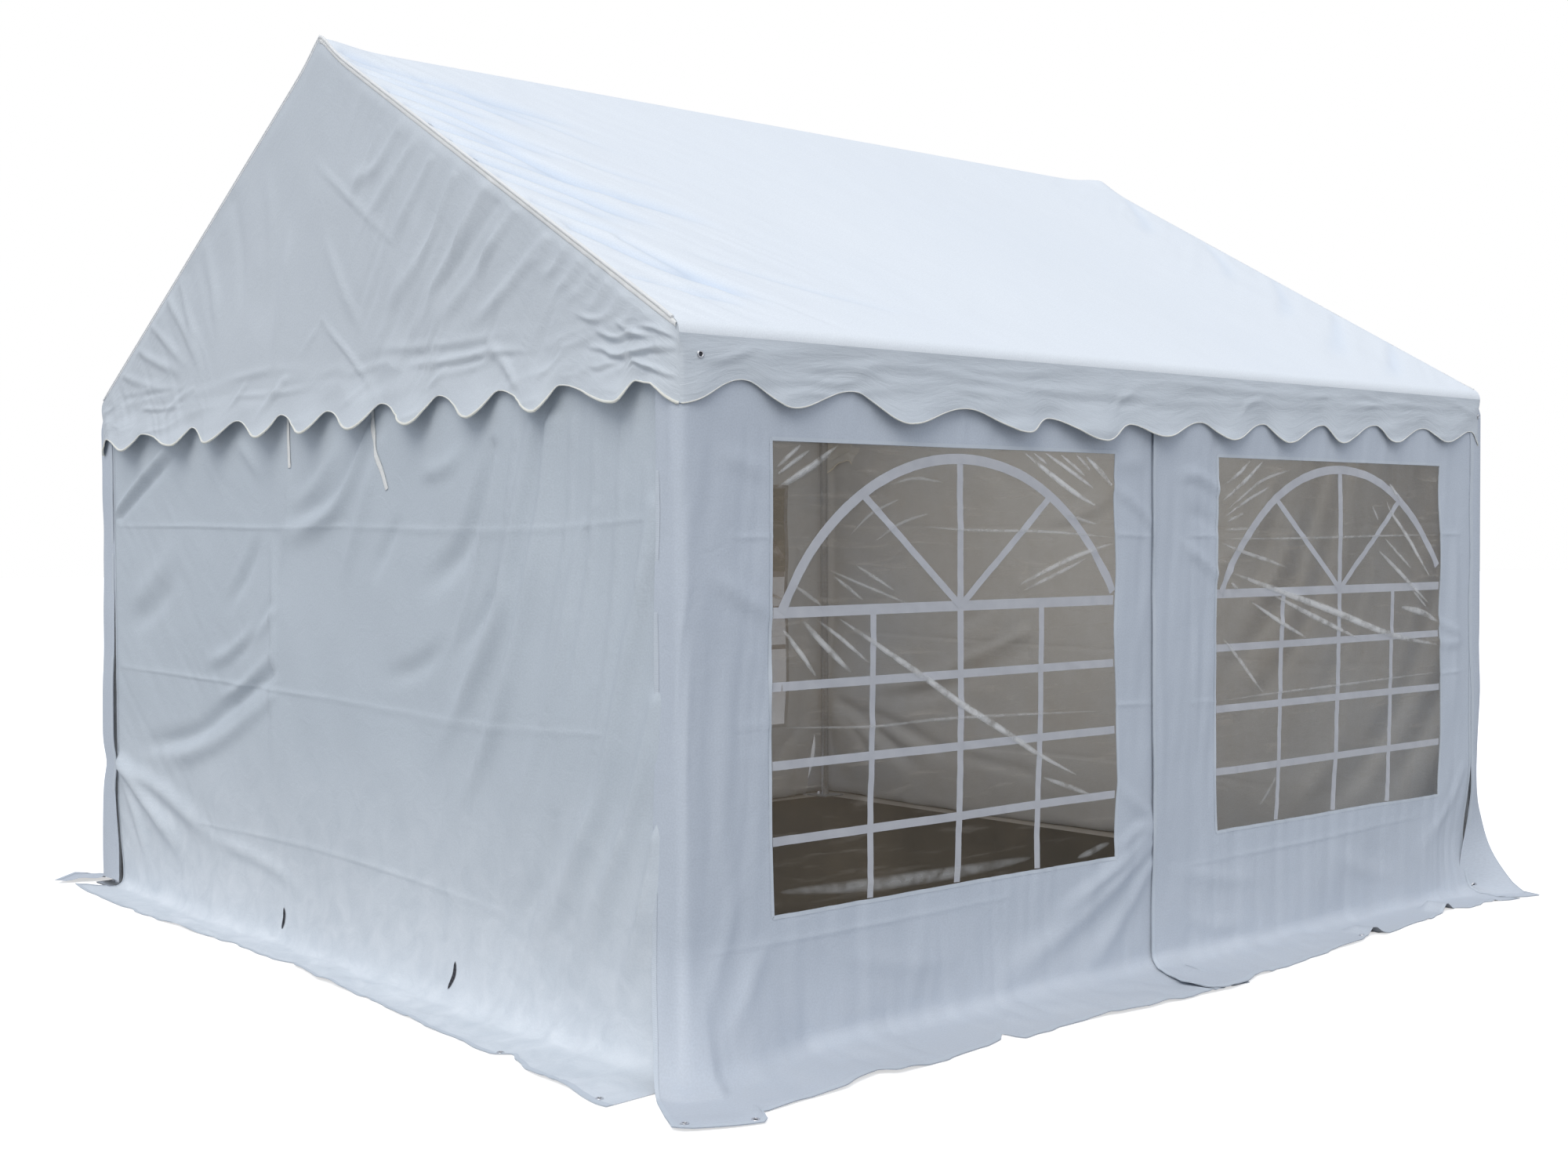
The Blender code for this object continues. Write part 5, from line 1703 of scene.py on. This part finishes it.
# %% Folds of a roof slope
LONG, SHORT = (0.032, 0.060), (0.022, 0.042)
ROOF_PITCH = {"front": 0.010, "back": 0.020}
GATHERED_PART = 0.85
ROOF_FOLDS = [fold(*row) for row in (
    ((0.05, 2.1, 0.2, 2.01, 0.35, 1.94, 0.58, 1.8, 0.8, 1.68), LONG, -0.024, 0.35, 0.8),
    ((0.05, 2.02, 0.21, 1.89, 0.4, 1.765, 0.56, 1.56), LONG, -0.022, 0.35, 0.8),
    ((0.04, 1.76, 0.19, 1.61, 0.32, 1.41, 0.42, 1.24), LONG, -0.024, 0.35, 0.8),
    ((0.04, 1.46, 0.2, 1.32, 0.35, 1.09, 0.58, 0.94, 0.775, 0.78), LONG, -0.027, 0.35, 0.8),
    ((0.04, 1.17, 0.21, 1.0, 0.36, 0.82, 0.46, 0.7), LONG, -0.024, 0.35, 0.8),
    ((0.04, 0.82, 0.15, 0.7, 0.27, 0.62), SHORT, -0.015, 0.35, 0.8),
    ((0.06, 0.64, 0.22, 0.4, 0.385, 0.27, 0.46, 0.15), LONG, -0.022, 0.35, 0.8),
    ((0.2, 0.6, 0.34, 0.33, 0.4, 0.2), SHORT, -0.017, 0.35, 0.6),
    ((0.05, 0.3, 0.26, 0.21, 0.38, 0.14), SHORT, -0.015, 0.35, 0.8),
    ((0.04, 1.93, 0.22, 1.76, 0.38, 1.56), SHORT, -0.017, 0.35, 0.8),
    ((0.04, 1.62, 0.18, 1.46, 0.3, 1.26), SHORT, -0.017, 0.35, 0.8),
    ((0.04, 1.33, 0.24, 1.14, 0.38, 0.97), SHORT, -0.018, 0.35, 0.8),
    ((0.04, 1.02, 0.2, 0.86, 0.32, 0.7), SHORT, -0.015, 0.35, 0.8),
    ((0.3, 1.95, 0.55, 1.72, 0.78, 1.45), (0.02, 0.04), -0.01, 0.4),
    ((0.32, 1.5, 0.55, 1.28, 0.8, 1.1), (0.02, 0.04), -0.009, 0.4),
    ((0.35, 0.6, 0.7, 0.38, 1.1, 0.2), (0.02, 0.04), -0.008, 0.4),
    ((3.98, 0.75, 3.65, 0.5, 3.25, 0.22), (0.02, 0.06), -0.009, 0.4, 0.7),
    ((4.0, 0.47, 3.75, 0.28, 3.4, 0.05), (0.02, 0.05), -0.009, 0.4, 0.7),
    ((3.98, 1.1, 3.7, 0.82, 3.4, 0.6), (0.02, 0.05), -0.008, 0.4, 0.7),
    ((3.97, 1.5, 3.75, 1.2, 3.5, 1.0), (0.02, 0.05), -0.008, 0.4, 0.7),
    ((3.96, 2.0, 3.75, 1.7, 3.5, 1.5), (0.02, 0.06), -0.009, 0.4, 0.7),
)]


def roof_relief(u, v, seed):
    """v is up the slope from the eave. Rafters and rails keep the cloth from sinking."""
    bay = np.sin(np.pi * np.clip(u, 0, VALANCE_LENGTH) / 2) ** 2
    height = -0.010 * bay * ease(0, 0.5, v) * ease(ROOF_LENGTH, ROOF_LENGTH - 0.3, v)
    height += 0.003 * bay * slack(u, v, 0.4, 0.5, seed) + 0.0012 * slack(u, v, 0.12, 0.15, seed + 1)
    verge = np.minimum(u, VALANCE_LENGTH - u)
    angle = math.radians(-52)
    pull = streaks(u, v, angle, 0.5, 0.035, seed + 2) * ease(2.0, 1.6, u)
    pull += streaks(u, v, -angle - math.radians(12), 0.5, 0.05, seed + 3) * ease(2.4, 2.8, u)
    height += 0.0030 * pull * ease(0.9, 0.1, verge)
    height += 0.0012 * streaks(u, v, angle, 0.9, 0.06, seed + 6) * ease(2.2, 0.8, u)
    height += lay_folds(u, v, ROOF_FOLDS)
    return height * ease(0.0, 0.04, verge) * ease(0.0, 0.10, v) * ease(ROOF_LENGTH, ROOF_LENGTH - 0.06, v)


def roof_shape(u, v, row):
    """Up the slope with v, and from one gable to the other with u."""
    inward, z = over_the_roof(v)
    ends = np.exp(-((u / 0.13) ** 2)) + np.exp(-(((VALANCE_LENGTH - u) / 0.13) ** 2))
    z = z + peak_at_end(v) * ends - ridge_round(v)
    places = np.stack([u - HALF_LENGTH, inward - HALF_WIDTH, z], -1)
    if row == "back":
        places[..., 1] *= -1
    return places


def mark_shaded_hollows(slope):
    """Store 0 on the smooth cloth and up to 1 in the folds' hollows, where the finish paints shade."""
    places = np.array([corner.co for corner in slope.data.vertices])
    u, v = places[:, 0] + HALF_LENGTH, (HALF_WIDTH - np.abs(places[:, 1])) / math.cos(SLOPE)
    depth = np.clip(-lay_folds(u, v, ROOF_FOLDS) / 0.016, 0, 1)
    slope.data.attributes.new("hollow_shade", "FLOAT", "POINT").data.foreach_set("value", depth)


for row, (facing, *_, seed) in ROWS.items():
    close = threads(0.0, GATHERED_PART, ROOF_PITCH[row])
    even = threads(GATHERED_PART, VALANCE_LENGTH, 0.026)
    across = np.concatenate([close, even[1:]])
    down = threads(-EAVE_TANGENT, ROOF_LENGTH, 1.3 * ROOF_PITCH[row], fine=(0.0, -0.02, ROOF_LENGTH))
    slope = make_sheet(
        f"roof_{row}_cloth", across, down,
        lambda u, v: roof_shape(u, v, row), lambda u, v: roof_relief(u, v, seed + 8),
        (0, facing * math.sin(SLOPE), math.cos(SLOPE)), ROOF_CLOTH,
    )
    mark_shaded_hollows(slope)
    fit_to_tent(slope, f"roof_{row}")

# %% [markdown]
# ## Seams, hems and fastenings
#
# What makes sewn cloth look sewn is at its edges: a round seam along each verge with a flat
# welt under the front slope, a folded hem on each panel, a cord in the wavy hems of the
# cover, eyelets with bright rims, and short tapes that tie a rolled panel up. The seam and
# the cord are round, so each is a curve with a thickness. The welts, hems and tapes are
# flat, so they are strips, and what is turned from metal is an outline turned round an axis.

# %% Verge seams
def seam_bead(name, places, radius, paint, swell=None):
    """A round seam along a line in space, as a bevelled curve. swell widens it place by place."""
    curve = bpy.data.curves.new(name, "CURVE")
    curve.dimensions = "3D"
    curve.bevel_depth = radius
    curve.bevel_resolution = 2
    curve.use_fill_caps = True
    spline = curve.splines.new("POLY")
    spline.points.add(len(places) - 1)
    for number, (point, place) in enumerate(zip(spline.points, places)):
        point.co = (*place, 1.0)
        point.radius = 1.0 if swell is None else swell[number]
    return make_object(name, curve, paint)


VERGE_RADIUS = 0.0055
VERGE_STEPS = 120
WELT_STEPS = 320
WELT_PROFILE = ((0.001, 0.001), (0.004, 0.0045), (0.014, 0.0045), (0.019, 0.0005))


def piping(name, sheet):
    """A flat welt that is sewn to a gable just under the front slope's edge."""
    u = np.linspace(END_LENGTH / 2, END_LENGTH - 0.010, WELT_STEPS)
    if sheet == "gable_right_cloth":
        u = END_LENGTH - u
    tall = gable_roofline(u) - wavy(u, GABLE_HEM)
    corners = []
    for depth, lift in WELT_PROFILE:
        found, normals = spots(sheet, u, 1 - depth / tall)
        corners.extend(found + normals * lift)
    faces = strip_faces(0, len(WELT_PROFILE), WELT_STEPS)
    return make_object(name, strip_mesh(name, corners, faces, SHEETS[sheet]["outward"]), WELT)


for end, edge in (("left", 0.0), ("right", VALANCE_LENGTH)):
    heights = np.linspace(0.030, ROOF_LENGTH, VERGE_STEPS)
    front_line, _ = spots("roof_front_cloth", np.full(VERGE_STEPS, edge), heights)
    back_line, _ = spots("roof_back_cloth", np.full(VERGE_STEPS, edge), heights)
    line = np.vstack([front_line, back_line[::-1][1:]])
    line[:, 0] += -0.0025 if end == "left" else -0.004
    line[:, 2] += (0.003 if end == "left" else -0.006) * np.clip((line[:, 2] - EAVE) / 0.05, 0, 1)
    thick = np.where(np.arange(len(line)) < VERGE_STEPS, 1.0, 0.45)
    fit_to_tent(seam_bead(f"verge_seam_{end}", line, VERGE_RADIUS, WELT, thick))
    fit_to_tent(piping(f"verge_piping_{end}", f"gable_{end}_cloth"))
    print("the", end, "verge has a seam of", len(line), "places and a welt under its front slope")

# %% Hems and welds
HEM_LIFT = 0.0009
EDGE_HEM, FOOT_HEM, WELD = 0.014, 0.016, 0.011
EDGE_INSET = 0.008
HEM_FOOT = -0.19
FOOT_LINE = -0.191
RIM = 0.006
trims = {}


def sew_on(piece, sheet):
    """Carry a piece with the tent, and remember the sheet that it belongs to."""
    fit_to_tent(piece)
    trims.setdefault(sheet, []).append(piece)


def add_hem(name, sheet, points, width):
    """A stitched hem along a line of a wall."""
    sew_on(lay_strips(name, sheet, [(points, width, HEM_LIFT, 3, 0)], SEAM_TAPE), sheet)


def upright(u, low=HEM_FOOT):
    """A line up a wall to its top edge."""
    return [(u, v) for v in np.linspace(low, WALL_TOP, 40)]


for row in ROWS:
    for half in ("left", "right"):
        sheet = f"wall_{row}_{half}_cloth"
        left, right, sill, head = WINDOWS[half]
        start, end = WALL_SPANS[half]
        free = row == "back" and half == "left"
        low, foot_start = (0.03, 0.015) if free else (HEM_FOOT, start)
        add_hem(f"hem_{row}_{half}_start", sheet, upright(start + EDGE_INSET, low), EDGE_HEM)
        add_hem(f"hem_{row}_{half}_end", sheet, upright(end - EDGE_INSET), EDGE_HEM)
        add_hem(f"hem_{row}_{half}_foot", sheet, [(foot_start, FOOT_LINE), (end, FOOT_LINE)], FOOT_HEM)
        frame_line = [
            (left - RIM, sill - RIM), (right + RIM, sill - RIM), (right + RIM, head + RIM),
            (left - RIM, head + RIM), (left - RIM, sill - RIM),
        ]
        for number, ends in enumerate(zip(frame_line, frame_line[1:])):
            add_hem(f"weld_{row}_{half}_{number}", sheet, ends, WELD)
right_edges = (-RIGHT_WRAP, between_corners + BACK_WRAP)
add_hem("hem_end_left_start", "wall_end_left_cloth", upright(SLIT + EDGE_INSET), EDGE_HEM)
for number, u in enumerate((right_edges[0] + EDGE_INSET, right_edges[1] - EDGE_INSET)):
    add_hem(f"hem_end_right_{number}", "wall_end_right_cloth", upright(u), EDGE_HEM)
for end, edges in (("left", (SLIT, END_RIGHT_EDGE)), ("right", right_edges)):
    add_hem(f"hem_end_{end}_foot", f"wall_end_{end}_cloth", [(u, FOOT_LINE) for u in edges], FOOT_HEM)
print(sum(len(part) for part in trims.values()), "hems and welds")

# %% Cords in the wavy hems
CORD_RADIUS = 0.0034
CORD_STEPS = 420
wavy_edges = [(f"gable_{end}_cloth", END_LENGTH) for end in GABLES]
wavy_edges += [(f"valance_{row}_cloth", VALANCE_LENGTH) for row in ROWS]
for sheet, length in wavy_edges:
    along = np.linspace(0.004, length - 0.004, CORD_STEPS)
    line, _ = spots(sheet, along, np.zeros(CORD_STEPS))
    if sheet.startswith("gable"):
        swell = 0.45 + 0.95 * lobes(along, GABLE_HEM)
    else:
        swell = 0.40 + 0.35 * lobes(along, FRONT_HEM)
    cord = seam_bead(sheet.replace("cloth", "hem_cord"), line, CORD_RADIUS, HEM_CORD, swell)
    fit_to_tent(cord)
print("a cord of", round(2000 * CORD_RADIUS, 1), "mm, more or less, in", len(wavy_edges), "wavy hems")


# %% [markdown]
# Eyelets and peg heads are small turned parts. An outline turned round an axis gives their
# rims a real rounding, which a flat disc or a bump can't give, and it needs few faces.

# %% Eyelets
TURNED_STEPS = 20
HOLE_RADIUS, HOLE_LIFT = 0.006, 0.0008


def circle_round(bm, place, axis, radius, height):
    """Corners on a circle round an axis, at a height along it."""
    axis = Vector(axis).normalized()
    side = axis.orthogonal().normalized()
    other = axis.cross(side)
    ring = []
    for step in range(TURNED_STEPS):
        angle = 2 * math.pi * step / TURNED_STEPS
        arm = side * math.cos(angle) + other * math.sin(angle)
        ring.append(bm.verts.new(Vector(place) + arm * radius + axis * height))
    return ring


def turned_ring(bm, place, axis, profile):
    """Turn a small outline round an axis: profile is (radius, height along the axis)."""
    rings = [circle_round(bm, place, axis, radius, height) for radius, height in profile]
    for low, high in zip(rings, rings[1:] + rings[:1]):
        for k in range(TURNED_STEPS):
            nxt = (k + 1) % TURNED_STEPS
            bm.faces.new((low[k], low[nxt], high[nxt], high[k]))


def turned_piece(name, bm, paint):
    """A smooth object from what was turned."""
    mesh = take_mesh(name, bm)
    mesh.shade_smooth()
    return make_object(name, mesh, paint)


EYELET_PROFILE = [(0.0055, 0.0006), (0.0065, 0.0026), (0.0085, 0.0032), (0.0105, 0.0024), (0.011, 0.0004)]


def add_eyelets(name, sheet, places):
    """Metal eyelets at places (u, v) of a sheet, with a dark disc of painted shade in each hole."""
    metal, hole_shade = bmesh.new(), bmesh.new()
    for u, v in places:
        place, normal = spots(sheet, u, v)
        turned_ring(metal, place[0], normal[0], EYELET_PROFILE)
        # Each hole gets a dark disc: painted shade.
        hole_shade.faces.new(circle_round(hole_shade, place[0], normal[0], HOLE_RADIUS, HOLE_LIFT))
    sew_on(turned_piece(name, metal, FASTENING), sheet)
    sew_on(turned_piece(name + "_holes", hole_shade, PAINTED_SHADE_DARK), sheet)


for row in ROWS:
    add_eyelets(f"eyelets_valance_{row}", f"valance_{row}_cloth", [(0.065, 0.68), (3.985, 0.62)])
WALL_EYELETS = {
    "front_left": [(-0.062, -0.172), (0.048, -0.182)],
    "front_right": [(2.90, -0.180)],
    "back_left": [(-0.045, 0.05)],
    "back_right": [(2.90, -0.180)],
    "end_left": [(3.307, -0.180), (3.785, -0.178)],
    "end_right": [(-0.045, 0.03), (0.5, -0.18), (3.3, -0.18)],
}
for wall, places in WALL_EYELETS.items():
    add_eyelets(f"eyelets_{wall}", f"wall_{wall}_cloth", places)
print(sum(len(places) for places in WALL_EYELETS.values()), "eyelets in the walls, 4 in the valances")


# %% Peg heads on the foot plates
PEG_WASHER = [(0.001, 0.0), (0.016, 0.0), (0.016, 0.002), (0.001, 0.002)]
PEG_HEAD = [(0.001, 0.002), (0.010, 0.002), (0.011, 0.007), (0.008, 0.013), (0.001, 0.015)]
PEG_INSET = 0.022
PLATE_TOP = 0.0062


def add_peg(name, place):
    """A domed steel peg head with its washer, standing in the foot plate's hole."""
    bm = bmesh.new()
    turned_ring(bm, place, (0, 0, 1), PEG_WASHER)
    turned_ring(bm, place, (0, 0, 1), PEG_HEAD)
    fit_to_tent(turned_piece(name, bm, FASTENING))


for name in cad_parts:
    if name.startswith("post_"):
        low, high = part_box(name)
        outer = low.y + PEG_INSET if low.y < 0 else high.y - PEG_INSET
        add_peg(name.replace("post", "peg"), ((low.x + high.x) / 2, outer, PLATE_TOP))
print("peg heads on six foot plates")

# %% [markdown]
# Two tapes hang loose near the top of an end wall, and at its foot two dark crescents are
# painted shadow, where the cloth gapes at two slits. They lie on the cloth, so they are strips as well.

# %% Tie tapes and painted slit shadows of the end walls
TAPE, SLIT_SHADOW = 0.020, 0.016
TAPES = [[(1.63, 1.86), (1.628, 1.76), (1.635, 1.66)], [(2.24, 1.84), (2.26, 1.72), (2.33, 1.57)]]
SLIT_SHADOWS = [
    [(1.585, 0.125), (1.592, 0.09), (1.580, 0.05)],
    [(2.755, 0.13), (2.760, 0.09), (2.742, 0.045)],
]
for end in ("left", "right"):
    sheet = f"wall_end_{end}_cloth"
    for number, points in enumerate(TAPES):
        strip = (smooth_line(points), TAPE, 0.0025, 3, 0)
        sew_on(lay_strips(f"tie_tape_{end}_{number}", sheet, [strip], WELT, 0.01), sheet)
    # These dark strips are painted shadow in two slits where the cloth gapes.
    strips = [(smooth_line(points), SLIT_SHADOW, 0.002, 3, 1.0) for points in SLIT_SHADOWS]
    sew_on(lay_strips(f"foot_slit_shadows_{end}", sheet, strips, PAINTED_SHADE_DARK, 0.008), sheet)
print(len(TAPES), "tapes and", len(SLIT_SHADOWS), "loops on each end wall")

# %% [markdown]
# ## The window walls once more
#
# Each window wall's span, window and film are looked up once more, and nothing else is done
# with them. Folded cloth may take up room, but it can't stretch.


for row in ROWS:
    for half in ("left", "right"):
        start, end = WALL_SPANS[half]
        left, right, sill, head = WINDOWS[half]
        film = films[row, half]
